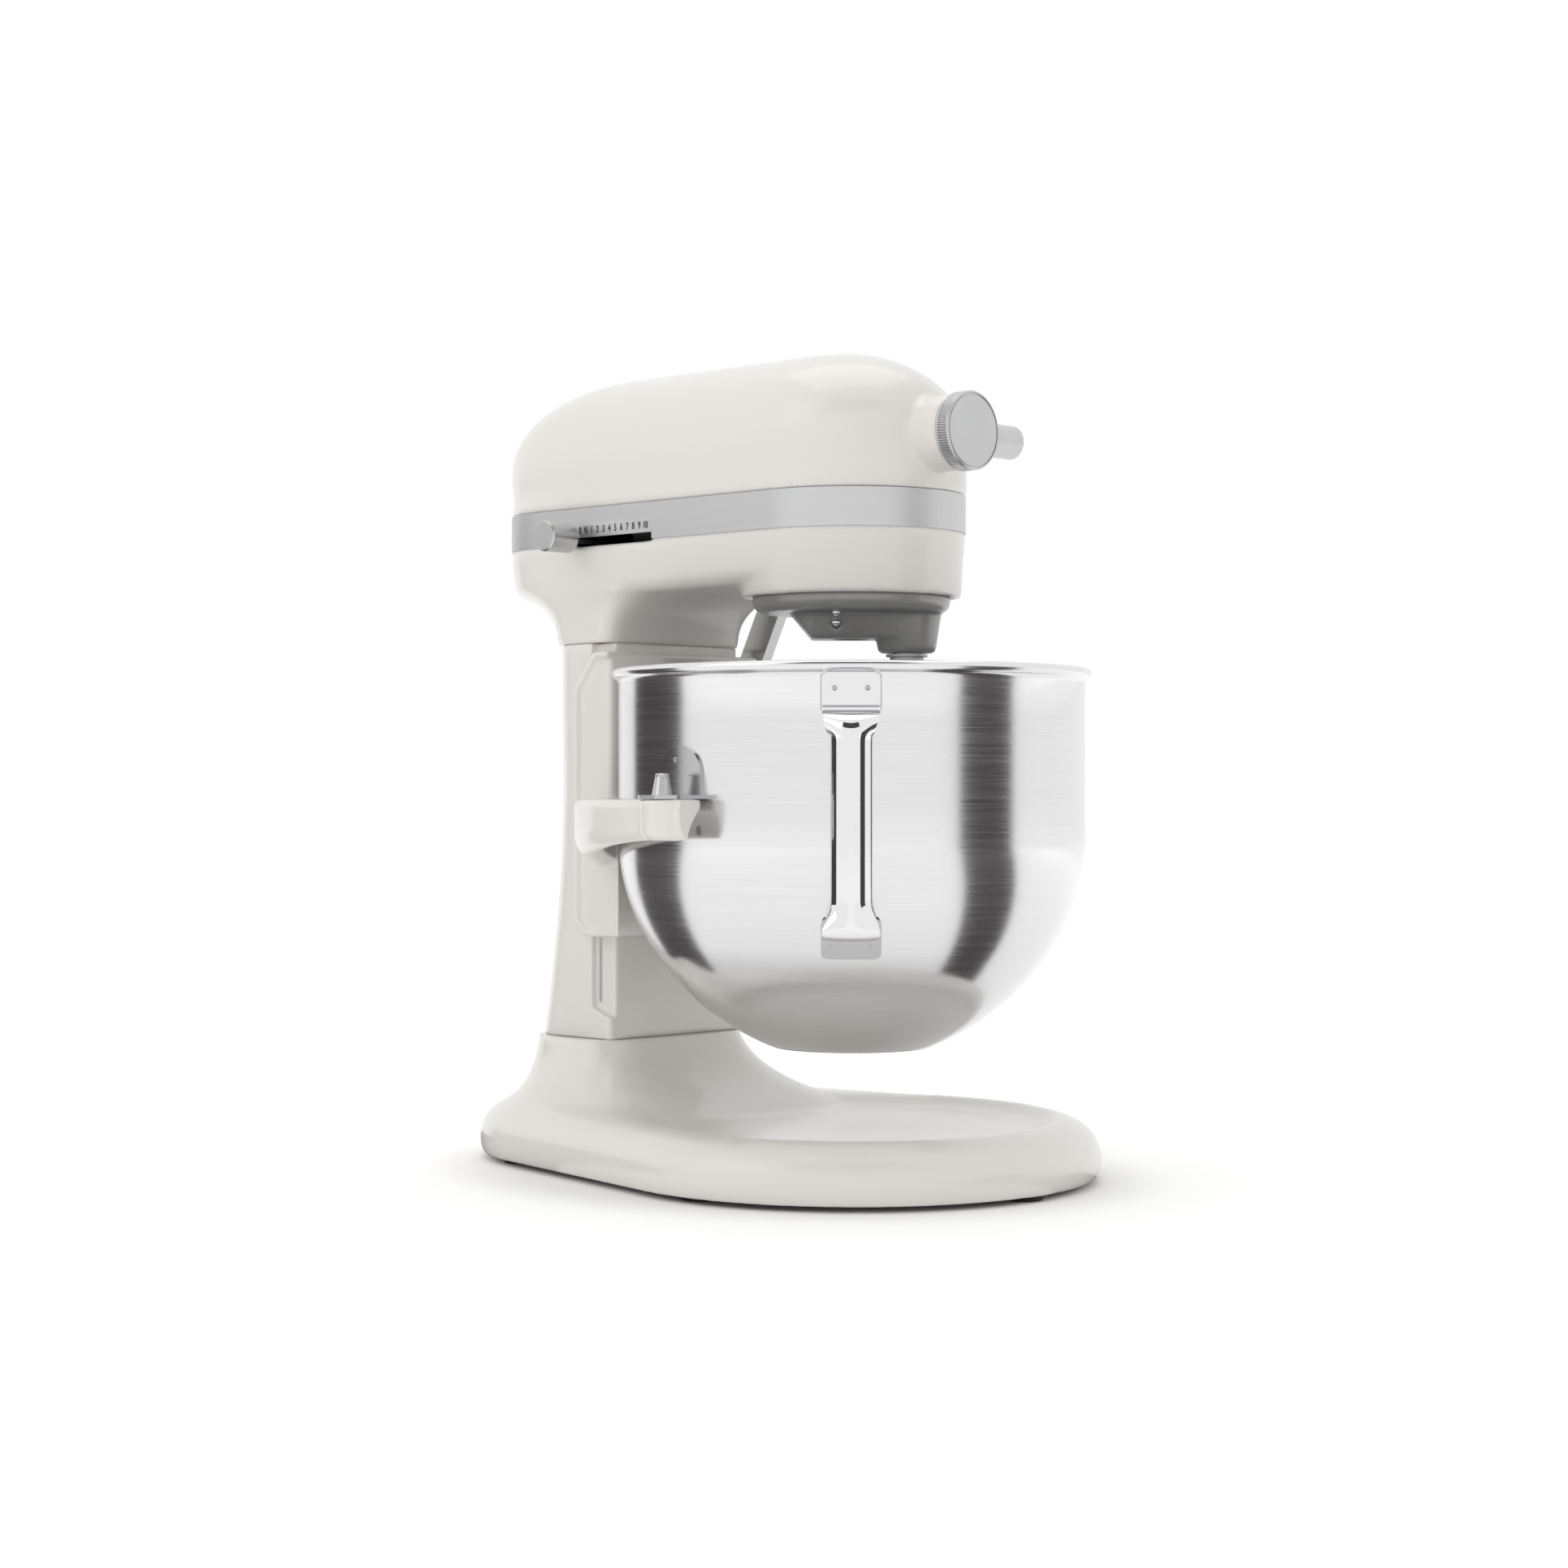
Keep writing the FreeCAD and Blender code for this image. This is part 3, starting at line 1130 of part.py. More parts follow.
def hub_cap():
    """A turned cap with a straight knurl round its edge and a dished face."""
    face = size("hub_face") + size("gap")
    radius = size("cap_rad")
    blank = rod_x(radius, face, face + size("cap_thick"), z=size("hub_z"))
    blank = blank.makeChamfer(0.6, [edge for edge in blank.Edges if edge.Length > 100])
    recess = rod_x(radius - 2.2, face + size("cap_thick") - 0.5, face + 20, z=size("hub_z"))
    notch = box((face + 1.4, -0.35, radius - 0.55), (face + size("cap_thick") - 1.2, 0.35, radius + 1))
    notches = []
    for index in range(72):
        groove = notch.copy()
        groove.rotate(V(0, 0, 0), V(1, 0, 0), index * 5)
        groove.translate(V(0, 0, size("hub_z")))
        notches.append(groove)
    return blank.cut(recess).cut(Part.makeCompound(notches))


def build_controls():
    strip = block("8", "14", "2", ("-lever_rest - 4", "-60", "slot_z - 1"))
    arm = block("14", "8", "2", ("-lever_rest - 10", "-46.5", "slot_z - 1"))
    united("speed_lever", [strip, arm])
    knob = [("0", "0"), ("3.2", "0"), ("3.2", "4"), ("speed_knob_rad - 0.8", "4"),
            ("speed_knob_rad", "4.8"), ("speed_knob_rad", "21.2"), ("speed_knob_rad - 0.8", "22"), ("0", "22")]
    turned("speed_knob", knob, ("-lever_rest", "-60", "speed_knob_z"), ALONG_MINUS_Y)


def build_yoke():
    shaped("bowl_support", bowl_support())
    pins = []
    for side in (-1, 1):
        centre = str(side) + " * pin_reach"
        cone = primitive("Cone", ("0", centre, "pin_low"), Radius1="pin_rad", Radius2="pin_tip",
                         Height="pin_high - pin_low")
        root = rod("2.5", "pin_low - 174", ("0", centre, "174"))
        pin = doc.addObject("Part::Fuse", "locating_pin")
        pin.Base = cone
        pin.Tool = root
        pins.append(pin)
    group("locating_pins", pins)
    shaped("lift_carrier", lift_carrier())
    shaped("latch_spring", latch_spring())


def latch_spring():
    """The bent spring clip on the yoke that holds the bowl's rear catch."""
    points = [V(-120.9, 0, 205), V(-120.9, 0, 240), V(-119.6, 0, 246), V(-118.6, 0, 246),
              V(-119.9, 0, 240), V(-119.9, 0, 205)]
    clip = Part.Face(Part.makePolygon(points + points[:1])).extrude(V(0, 24, 0))
    clip.translate(V(0, -12, 0))
    return clip


def build_bowl():
    turned("bowl_shell", bowl_outline())
    shaped("bowl_handle", bowl_handle())
    shaped("handle_plates", handle_plates())
    shaped("bowl_brackets", bowl_brackets())


def lift_lever():
    """A pressed channel strap beside the column, leaning forward, with an eye on the lift shaft."""
    y = size("lever_y")
    back = -7
    strap = box((back - 8, y, 0), (back + 8, y + 7, 88)).fuse(rod_y(8, y, y + 7, back, 88))
    strap = strap.fuse(rod_y(11, y, y + 7)).fuse(rod_y(8, y, y + 7, back, 0))
    channel = box((back - 5.6, y + 2, 14), (back + 5.6, y + 9, 88)).fuse(rod_y(5.6, y + 2, y + 9, back, 88))
    lever = strap.cut(channel).cut(rod_y(size("shaft_rad"), 0, 90))
    lever.rotate(V(0, 0, 0), V(0, 1, 0), size("lever_lean"))
    lever.translate(V(-size("lever_x"), 0, size("lever_z")))
    return lever


def lift_crank():
    """The crank inside the column; its pin rides in the carrier's cross slot."""
    throw = size("crank_rad")
    web = box((-4, 2, 0), (4, 8, throw)).fuse(rod_y(5.5, 2, 8, 0, throw)).fuse(rod_y(9, 2, 8))
    web = web.fuse(rod_y(size("crank_pin"), -7, 2, 0, throw)).cut(rod_y(size("shaft_rad"), -1, 40))
    web.rotate(V(0, 0, 0), V(0, 1, 0), -45)
    web.translate(V(-size("lever_x"), 0, size("lever_z")))
    return web


def build_lift():
    shaped("lift_lever", lift_lever())
    x = "-lever_x"
    length = "lever_y + 7 - 2"
    turned("lift_shaft", [("0", "0"), ("shaft_rad", "0"), ("shaft_rad", length), ("0", length)],
           (x, "2", "lever_z"), ALONG_Y)
    bush = "column_half - recess_depth + 0.2 - 24"
    tube("lift_bush", "shaft_rad + 4", "shaft_rad + running", bush, (x, "24", "lever_z"), ALONG_Y)
    shaped("lift_crank", lift_crank())


def check_and_write():
    """Stops on any failed object, then writes one STEP file for each sub-part."""
    doc.recompute()
    for item in doc.Objects:
        if "Invalid" in item.State or "Error" in item.State:
            raise SystemExit(f"{item.Name} ({item.Label}) failed: {item.State}")
    for label, piece in PARTS.items():
        if piece.Shape.isNull() or not piece.Shape.isValid() or not piece.Shape.Solids:
            raise SystemExit(f"{label} has no valid shape")
    os.makedirs("parts", exist_ok=True)
    for label, piece in PARTS.items():
        piece.Shape.exportStep(os.path.join("parts", label + ".step"))
        print(f"{label}: {len(piece.Shape.Solids)} solid(s), {piece.Shape.Volume / 1000:.1f} cm3")


build_stand()
build_motor()
build_transmission()
build_planetary()
build_beater_shaft()
build_hub()
build_controls()
build_yoke()
build_bowl()
build_lift()
check_and_write()
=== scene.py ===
"""Studio picture of the bowl-lift stand mixer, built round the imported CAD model. Metres."""
import json
import math

import bmesh
import bpy
import numpy as np
from mathutils import Matrix, Vector


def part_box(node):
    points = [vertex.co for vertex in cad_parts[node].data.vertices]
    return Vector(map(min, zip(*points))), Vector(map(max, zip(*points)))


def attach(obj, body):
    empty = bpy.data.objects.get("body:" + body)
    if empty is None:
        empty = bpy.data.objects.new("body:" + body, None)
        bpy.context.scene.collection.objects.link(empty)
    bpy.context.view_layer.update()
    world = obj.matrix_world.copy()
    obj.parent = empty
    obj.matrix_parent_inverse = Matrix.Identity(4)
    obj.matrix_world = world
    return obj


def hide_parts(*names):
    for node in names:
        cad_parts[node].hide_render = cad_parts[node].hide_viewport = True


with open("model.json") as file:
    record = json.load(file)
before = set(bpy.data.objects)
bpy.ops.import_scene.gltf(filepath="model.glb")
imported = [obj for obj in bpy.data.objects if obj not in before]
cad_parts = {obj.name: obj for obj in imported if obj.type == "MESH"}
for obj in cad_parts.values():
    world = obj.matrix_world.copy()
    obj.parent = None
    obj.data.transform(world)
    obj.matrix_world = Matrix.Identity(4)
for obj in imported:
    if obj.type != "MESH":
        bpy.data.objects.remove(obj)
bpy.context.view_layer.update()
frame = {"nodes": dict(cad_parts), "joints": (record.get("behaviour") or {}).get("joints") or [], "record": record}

NODES = frame["nodes"]
JOINTS = {joint["name"]: joint for joint in frame["joints"]}
AXIS_X = JOINTS["planetary_turn"]["pos_m"][0]      # the upright mixing axis
SCENE = bpy.context.scene
MM = 0.001


def row(x, y, z):
    """A point given in millimetres from the mixing axis, in metres in the row's frame."""
    return Vector((AXIS_X + x * MM, y * MM, z * MM))


# ---- mesh helpers ----------------------------------------------------------------------------------

def new_piece(name, bm, body, material, smooth_angle=40):
    """Turns a bmesh into a piece that rides on a body, smooth except where faces meet at more than the angle."""
    bmesh.ops.remove_doubles(bm, verts=bm.verts, dist=1e-7)
    bmesh.ops.recalc_face_normals(bm, faces=bm.faces)
    mesh = bpy.data.meshes.new(name)
    bm.to_mesh(mesh)
    bm.free()
    piece = bpy.data.objects.new(name, mesh)
    SCENE.collection.objects.link(piece)
    piece.data.materials.append(material)
    shade(piece, smooth_angle)
    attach(piece, body)
    return piece


def shade(piece, smooth_angle):
    """Smooth shading with an angle limit, kept in the mesh itself."""
    piece.data.shade_smooth()
    piece.data.set_sharp_from_angle(angle=math.radians(smooth_angle))


def arc_points(centre, radius, start, end, count):
    """Points (a, b) on an arc, angles in degrees from the first axis."""
    points = []
    for index in range(count + 1):
        angle = math.radians(start + (end - start) * index / count)
        points.append((centre[0] + radius * math.cos(angle), centre[1] + radius * math.sin(angle)))
    return points


def lathe(profile, steps):
    """A bmesh turned about Z from (radius, height) points; both ends lie on the axis."""
    bm = bmesh.new()
    rings = []
    for radius, height in profile:
        if radius < 1e-6:
            rings.append([bm.verts.new((0, 0, height))] * steps)
            continue
        ring = []
        for index in range(steps):
            angle = 2 * math.pi * index / steps
            ring.append(bm.verts.new((radius * math.cos(angle), radius * math.sin(angle), height)))
        rings.append(ring)
    for low, high in zip(rings, rings[1:]):
        for index in range(steps):
            after = (index + 1) % steps
            corners = []
            for vertex in (low[index], low[after], high[after], high[index]):
                if vertex not in corners:
                    corners.append(vertex)
            if len(corners) > 2:
                bm.faces.new(corners)
    return bm


def move_bmesh(bm, matrix):
    """Moves a whole bmesh, and hands it back."""
    bmesh.ops.transform(bm, matrix=matrix, verts=bm.verts)
    return bm


def rounded_line(corners, radii, step):
    """Points along a flat polyline whose inner corners are tangent arcs of the given radii."""
    corners = [Vector(corner) for corner in corners]
    points = [corners[0]]
    for before, corner, after, radius in zip(corners, corners[1:], corners[2:], radii):
        back = (before - corner).normalized()
        ahead = (after - corner).normalized()
        half_turn = back.angle(ahead) / 2
        reach = radius / math.tan(half_turn)
        start = corner + back * reach
        end = corner + ahead * reach
        centre = corner + (back + ahead).normalized() * radius / math.sin(half_turn)
        turn = math.pi - 2 * half_turn
        count = max(4, int(radius * turn / step * 2))
        first = start - centre
        last = end - centre
        for index in range(count + 1):
            share = index / count
            spoke = (first * math.sin((1 - share) * turn) + last * math.sin(share * turn)) / math.sin(turn)
            points.append(centre + spoke)
    points.append(corners[-1])
    dense = [points[0]]
    for point in points[1:]:
        gap = (point - dense[-1]).length
        count = max(1, round(gap / step))
        start = dense[-1]
        for index in range(1, count + 1):
            dense.append(start.lerp(point, index / count))
    return dense


def sheet(rows_of_points):
    """A bmesh surface through rows of points, all of one length."""
    bm = bmesh.new()
    rows = [[bm.verts.new(point) for point in line] for line in rows_of_points]
    for first, second in zip(rows, rows[1:]):
        for index in range(len(first) - 1):
            bm.faces.new((first[index], first[index + 1], second[index + 1], second[index]))
    return bm


def thicken(bm, thickness):
    """Turns an open sheet into a closed one by adding its back face and its edges."""
    bmesh.ops.recalc_face_normals(bm, faces=bm.faces)
    bmesh.ops.solidify(bm, geom=bm.faces[:], thickness=thickness)
    return bm


def joined(parts):
    """Several bmeshes as one."""
    whole = bmesh.new()
    for part in parts:
        spare = bpy.data.meshes.new("spare")
        part.to_mesh(spare)
        part.free()
        whole.from_mesh(spare)
        bpy.data.meshes.remove(spare)
    return whole


def rods_between(points, radius):
    """A chain of round-ended rods through points."""
    bm = bmesh.new()
    for point in points:
        bmesh.ops.create_icosphere(bm, subdivisions=3, radius=radius, matrix=Matrix.Translation(point))
    for start, end in zip(points, points[1:]):
        along = end - start
        place = Matrix.Translation((start + end) / 2) @ along.to_track_quat("Z", "Y").to_matrix().to_4x4()
        bmesh.ops.create_cone(bm, cap_ends=True, segments=24, radius1=radius, radius2=radius,
                              depth=along.length, matrix=place)
    return bm


SOFTER_PASSES = 60


def relax(mesh, passes, voxel, levels, softer):
    """Smooths a fine mesh evenly. Faces on the given levels stay flat, and softer adds passes."""
    count = len(mesh.vertices)
    places = np.empty(count * 3)
    mesh.vertices.foreach_get("co", places)
    places = places.reshape(-1, 3)
    edges = np.empty(len(mesh.edges) * 2, dtype=np.int64)
    mesh.edges.foreach_get("vertices", edges)
    first, second = edges[0::2], edges[1::2]
    degree = np.maximum(np.bincount(edges, minlength=count), 1)
    held = np.zeros(count, dtype=bool)
    for level in levels:
        held |= np.abs(places[:, 2] - level * MM) < voxel * 0.6
    height = places[held, 2].copy()
    weight = softer(places)[:, None] if softer else np.zeros((count, 1))
    extra = SOFTER_PASSES if softer else 0
    for index in range(passes + extra):
        mean = np.empty_like(places)
        for axis in range(3):
            total = np.bincount(first, weights=places[second, axis], minlength=count)
            total += np.bincount(second, weights=places[first, axis], minlength=count)
            mean[:, axis] = total / degree
        share = 0.5 if index < passes else 0.5 * weight
        places += share * (mean - places)
        places[held, 2] = height
    mesh.vertices.foreach_set("co", places.ravel())
    mesh.update()


def cast_skin(node, name, body, voxel, passes, levels=(), added=(), softer=None):
    """A casting with the soft radii of a real one: its CAD shape and any beads, remeshed and relaxed."""
    plain = bmesh.new()
    plain.from_mesh(NODES[node].data)
    bm = joined([plain, *added])
    rough_mesh = bpy.data.meshes.new(name + "_rough")
    bm.to_mesh(rough_mesh)
    bm.free()
    rough = bpy.data.objects.new(name + "_rough", rough_mesh)
    SCENE.collection.objects.link(rough)
    remesh = rough.modifiers.new("remesh", "REMESH")
    remesh.mode = "VOXEL"
    remesh.voxel_size = voxel
    ready = rough.evaluated_get(bpy.context.evaluated_depsgraph_get())
    mesh = bpy.data.meshes.new_from_object(ready)
    bpy.data.objects.remove(rough)
    relax(mesh, passes, voxel, levels, softer)
    mesh.name = name
    mesh.materials.clear()
    mesh.materials.append(MATERIALS[SLOTS[node]])
    mesh.shade_smooth()
    piece = bpy.data.objects.new(name, mesh)
    SCENE.collection.objects.link(piece)
    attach(piece, body)
    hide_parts(node)


# ---- materials ---------------------------------------------------------------------------------------

class Shader:
    """A small wrapper that adds and links nodes to one material's Principled shader."""

    def __init__(self, name, color, metallic=0.0, roughness=0.5):
        self.material = bpy.data.materials.new(name)
        self.material.use_nodes = True
        self.tree = self.material.node_tree
        self.main = self.tree.nodes["Principled BSDF"]
        self.main.inputs["Base Color"].default_value = (*color, 1)
        self.main.inputs["Metallic"].default_value = metallic
        self.main.inputs["Roughness"].default_value = roughness
        self.place = self.add("ShaderNodeTexCoord").outputs["Object"]

    def add(self, kind, **settings):
        node = self.tree.nodes.new(kind)
        for name, value in settings.items():
            setattr(node, name, value)
        return node

    def link(self, output, target):
        self.tree.links.new(output, target)

    def scaled(self, scale, source=None):
        """The object's own coordinates, stretched."""
        mapping = self.add("ShaderNodeMapping")
        mapping.inputs["Scale"].default_value = scale
        self.link(source or self.place, mapping.inputs["Vector"])
        return mapping.outputs["Vector"]

    def noise(self, scale, detail=3.0, vector=None, roughness=0.5):
        node = self.add("ShaderNodeTexNoise")
        node.inputs["Scale"].default_value = scale
        node.inputs["Detail"].default_value = detail
        node.inputs["Roughness"].default_value = roughness
        self.link(vector or self.place, node.inputs["Vector"])
        return node.outputs["Fac"]

    def ramp(self, source, low, high, from_low=0.3, from_high=0.7):
        """A value from low to high as the source goes from from_low to from_high."""
        node = self.add("ShaderNodeMapRange")
        for name, value in (("From Min", from_low), ("From Max", from_high), ("To Min", low), ("To Max", high)):
            node.inputs[name].default_value = value
        self.link(source, node.inputs["Value"])
        return node.outputs["Result"]

    def tint(self, source, first, second):
        """The base colour, from first to second as the source goes from 0 to 1."""
        node = self.add("ShaderNodeMix", data_type="RGBA")
        node.inputs[6].default_value = (*first, 1)
        node.inputs[7].default_value = (*second, 1)
        self.link(source, node.inputs[0])
        self.link(node.outputs[2], self.main.inputs["Base Color"])

    def bump(self, source, distance, strength=1.0):
        """A relief of the given depth in metres."""
        node = self.add("ShaderNodeBump")
        node.inputs["Distance"].default_value = distance
        node.inputs["Strength"].default_value = strength
        self.link(source, node.inputs["Height"])
        self.link(node.outputs["Normal"], self.main.inputs["Normal"])

    def rough(self, source, low, high):
        self.link(self.ramp(source, low, high), self.main.inputs["Roughness"])


def enamel(name, color, shadow):
    """Baked enamel on a casting: a soft gloss with a faint orange peel."""
    shader = Shader(name, color, roughness=0.3)
    shader.main.inputs["Coat Weight"].default_value = 0.5
    shader.main.inputs["Coat Roughness"].default_value = 0.12
    shader.main.inputs["Specular IOR Level"].default_value = 0.45
    shader.tint(shader.ramp(shader.noise(9, 4), 0, 1), shadow, color)
    shader.rough(shader.noise(60, 3), 0.29, 0.35)
    shader.bump(shader.noise(420, 2), 0.00002, 0.6)
    return shader.material


def brushed(name, color, along, across, low, high, anisotropy=0.0):
    """Metal brushed along one direction: streaks that are long one way and fine the other."""
    shader = Shader(name, color, metallic=1.0, roughness=(low + high) / 2)
    streaks = shader.noise(1, 5, shader.scaled((along, along, across)), 0.65)
    shader.tint(shader.ramp(streaks, 0, 1), [0.93 * part for part in color], color)
    shader.rough(streaks, low, high)
    shader.bump(streaks, 0.000012, 0.5)
    shader.main.inputs["Anisotropic"].default_value = anisotropy
    return shader.material


def bowl_metal(name, color, low, high):
    """Spun steel: fine grain in rings about the bowl's axis, on the wall and round the bottom."""
    shader = Shader(name, color, metallic=1.0, roughness=(low + high) / 2)
    centred = shader.add("ShaderNodeVectorMath", operation="SUBTRACT")
    centred.inputs[1].default_value = (AXIS_X, 0, 0)
    shader.link(shader.place, centred.inputs[0])
    flat = shader.add("ShaderNodeVectorMath", operation="MULTIPLY")
    flat.inputs[1].default_value = (1, 1, 0)
    shader.link(centred.outputs[0], flat.inputs[0])
    reach = shader.add("ShaderNodeVectorMath", operation="LENGTH")
    shader.link(flat.outputs[0], reach.inputs[0])
    parts = shader.add("ShaderNodeSeparateXYZ")
    shader.link(centred.outputs[0], parts.inputs[0])
    climb = shader.add("ShaderNodeMath", operation="ADD")
    shader.link(reach.outputs["Value"], climb.inputs[0])
    shader.link(parts.outputs["Z"], climb.inputs[1])
    ring = shader.add("ShaderNodeCombineXYZ")
    shader.link(parts.outputs["X"], ring.inputs["X"])
    shader.link(parts.outputs["Y"], ring.inputs["Y"])
    shader.link(climb.outputs[0], ring.inputs["Z"])
    streaks = shader.noise(1, 6, shader.scaled((16, 16, 1500), ring.outputs[0]), 0.7)
    shader.tint(shader.ramp(streaks, 0, 1), [0.92 * part for part in color], color)
    shader.rough(streaks, low, high)
    shader.bump(streaks, 0.00001, 0.5)
    tangent = shader.add("ShaderNodeTangent", direction_type="RADIAL", axis="Z")
    shader.link(tangent.outputs[0], shader.main.inputs["Tangent"])
    shader.main.inputs["Anisotropic"].default_value = 0.55
    return shader.material


def polished(name, color, roughness):
    """Bright polished metal with the faint waviness of a pressed part."""
    shader = Shader(name, color, metallic=1.0, roughness=roughness)
    shader.rough(shader.noise(140, 3), roughness, roughness + 0.05)
    shader.bump(shader.noise(90, 2), 0.00002, 0.4)
    return shader.material


def satin(name, color):
    """Fine blasted and anodised aluminium."""
    shader = Shader(name, color, metallic=1.0, roughness=0.35)
    grain = shader.noise(3500, 2)
    shader.rough(grain, 0.3, 0.38)
    shader.tint(shader.ramp(shader.noise(40, 3), 0, 1), [0.95 * part for part in color], color)
    shader.bump(grain, 0.000006, 0.5)
    return shader.material


def moulded(name, color, low, high, grain=900):
    """A matt moulding or print with a fine grain."""
    shader = Shader(name, color, roughness=0.5)
    shader.rough(shader.noise(grain, 3), low, high)
    shader.tint(shader.ramp(shader.noise(30, 3), 0, 1), [0.8 * part for part in color], color)
    shader.bump(shader.noise(grain, 3), 0.00003, 0.6)
    return shader.material


def metallic_enamel(name, color):
    """Grey enamel with fine metal flakes over a slightly rippled casting."""
    shader = Shader(name, color, metallic=0.25, roughness=0.36)
    flakes = shader.add("ShaderNodeTexVoronoi")
    flakes.inputs["Scale"].default_value = 2600
    shader.link(shader.place, flakes.inputs["Vector"])
    shader.tint(shader.ramp(flakes.outputs["Color"], 0, 1, 0, 1), [0.86 * part for part in color],
                [1.1 * part for part in color])
    shader.rough(shader.noise(300, 3), 0.3, 0.42)
    shader.bump(shader.noise(260, 3), 0.00006, 0.7)
    shader.main.inputs["Coat Weight"].default_value = 0.35
    shader.main.inputs["Coat Roughness"].default_value = 0.15
    return shader.material


MATERIALS = {
    "paint": enamel("cream_enamel", (0.78, 0.758, 0.722), (0.765, 0.742, 0.704)),
    "rubber": moulded("foot_rubber", (0.02, 0.02, 0.021), 0.6, 0.8),
    "band_steel": brushed("band_brushed_steel", (0.62, 0.622, 0.625), 14, 2200, 0.285, 0.38, 0.3),
    "steel_parts": brushed("machined_steel", (0.6, 0.6, 0.61), 300, 1500, 0.28, 0.42),
    "bronze": brushed("bearing_bronze", (0.55, 0.36, 0.16), 200, 900, 0.35, 0.5),
    "gear_steel": brushed("gear_steel", (0.42, 0.42, 0.44), 260, 900, 0.3, 0.45),
    "laminations": brushed("laminated_steel", (0.22, 0.22, 0.24), 2500, 60, 0.45, 0.6),
    "copper": brushed("commutator_copper", (0.75, 0.36, 0.2), 900, 60, 0.25, 0.4),
    "black_plastic": moulded("black_moulding", (0.016, 0.016, 0.018), 0.45, 0.6),
    "planet_enamel": metallic_enamel("planetary_enamel", (0.34, 0.335, 0.33)),
    "satin_metal": satin("satin_aluminium", (0.59, 0.592, 0.596)),
    "bowl_steel": bowl_metal("spun_steel", (0.80, 0.80, 0.81), 0.11, 0.2),
    "polished_steel": polished("polished_steel", (0.82, 0.82, 0.83), 0.03),
}
PLATE_STEEL = brushed("plate_steel", (0.52, 0.52, 0.525), 60, 1400, 0.14, 0.22)
SLOTS = {part["node"]: part["material_slot"] for part in frame["record"]["subparts"]}


def paint_nodes():
    """Gives every CAD node the material of its slot, and smooth shading."""
    for name, slot in SLOTS.items():
        node = NODES[name]
        node.data.materials.clear()
        node.data.materials.append(MATERIALS[slot])
        shade(node, 32)
    for name in ("bowl_brackets", "lift_lever"):
        NODES[name].data.materials[0] = PLATE_STEEL
    NODES["guide_strips"].data.materials[0] = MATERIALS["satin_metal"]
    NODES["shaft_washers"].data.materials[0] = MATERIALS["gear_steel"]


paint_nodes()


# ---- castings ------------------------------------------------------------------------------------------

def pedestal_zone(places):
    """1 where the pedestal sweeps into the base, 0 on the base's rim."""
    height = np.clip((places[:, 2] - 0.024) / 0.006, 0, 1) * np.clip((0.060 - places[:, 2]) / 0.004, 0, 1)
    along = np.clip((AXIS_X - 0.030 - places[:, 0]) / 0.02, 0, 1)
    return height * along


BEAD_RADIUS = 1.9
BEAD_SIDE = 54.7
BEAD_FRONT = -123
BEAD_LOW = 120.6
BEAD_TOP = 266.6
BASE_LOW = 3             # the heights where castings meet
BASE_TOP = 64.5
NECK_LOW = 273.5
HEAD_SPLIT = 344


def yoke_beads():
    """The raised bead round the yoke's side flanges and along its top edge."""
    chains = []
    for side in (-BEAD_SIDE, BEAD_SIDE):
        outline = [(BEAD_FRONT, BEAD_LOW), (-139.2, BEAD_LOW), (-146.2, 127.6), (-146.2, 248.8),
                   (-132, BEAD_TOP), (BEAD_FRONT, BEAD_TOP)]
        chains.append(rods_between([row(x, side, z) for x, z in outline], BEAD_RADIUS * MM))
    edge = [row(BEAD_FRONT, -BEAD_SIDE, BEAD_TOP), row(BEAD_FRONT, BEAD_SIDE, BEAD_TOP)]
    chains.append(rods_between(edge, BEAD_RADIUS * MM))
    return chains


def make_castings():
    cast_skin("upper_housing", "upper_shell", "stand", 1.35 * MM, 8, (HEAD_SPLIT,))
    cast_skin("lower_housing", "lower_shell", "stand", 1.25 * MM, 14, (NECK_LOW, HEAD_SPLIT - 0.1))
    cast_skin("column_casting", "column_shell", "stand", 1.0 * MM, 4, (NECK_LOW, BASE_TOP))
    cast_skin("base_casting", "base_shell", "stand", 1.5 * MM, 14, (BASE_TOP, BASE_LOW), softer=pedestal_zone)
    cast_skin("bowl_support", "yoke_shell", "yoke", 1.0 * MM, 3, added=yoke_beads())
    cast_skin("planetary_casting", "planetary_body", "planetary", 0.7 * MM, 8)


make_castings()


# ---- bowl ------------------------------------------------------------------------------------------------

RIM_PROUD = 0.0034       # how far the rolled rim stands out from the wall
ROLL = 0.0026            # the roll's radius
HIP = (0.0971, 0.111)    # where the bottom's wide arc meets the side's tighter one
KNEE = 0.170             # the wall is upright above this height
FLOOR_RADIUS = 0.040
WALL = 0.0012


def bowl_profile(box_low, box_high):
    """The bowl's wall in section, outside from the middle up to the rolled rim, then inside down."""
    rim = (box_high.x - box_low.x) / 2
    top = box_high.z
    low = box_low.z
    wall = rim - RIM_PROUD
    bottom = curve_between((FLOOR_RADIUS, low), HIP, 0.130, 18)
    side = curve_between(HIP, (wall, KNEE), 0.104, 20)
    outer = [(0, low + 0.002), (0.02, low + 0.0016), (0.036, low + 0.0002)]
    outer += bottom + side[1:]
    outer += [(wall, KNEE + 0.02), (wall, top - 0.03), (wall, top - 0.0075), (wall + 0.0004, top - 0.0062)]
    outer += arc_points((rim - ROLL, top - ROLL), ROLL, -75, 190, 14)
    inner = [(wall - WALL, top - 0.006), (wall - WALL, KNEE + 0.01)]
    inner += [(radius - WALL * 0.85, height + WALL * 0.8) for radius, height in side[::-1] + bottom[::-1][1:]]
    inner += [(0.02, low + 0.0028), (0, low + 0.0032)]
    return outer + inner


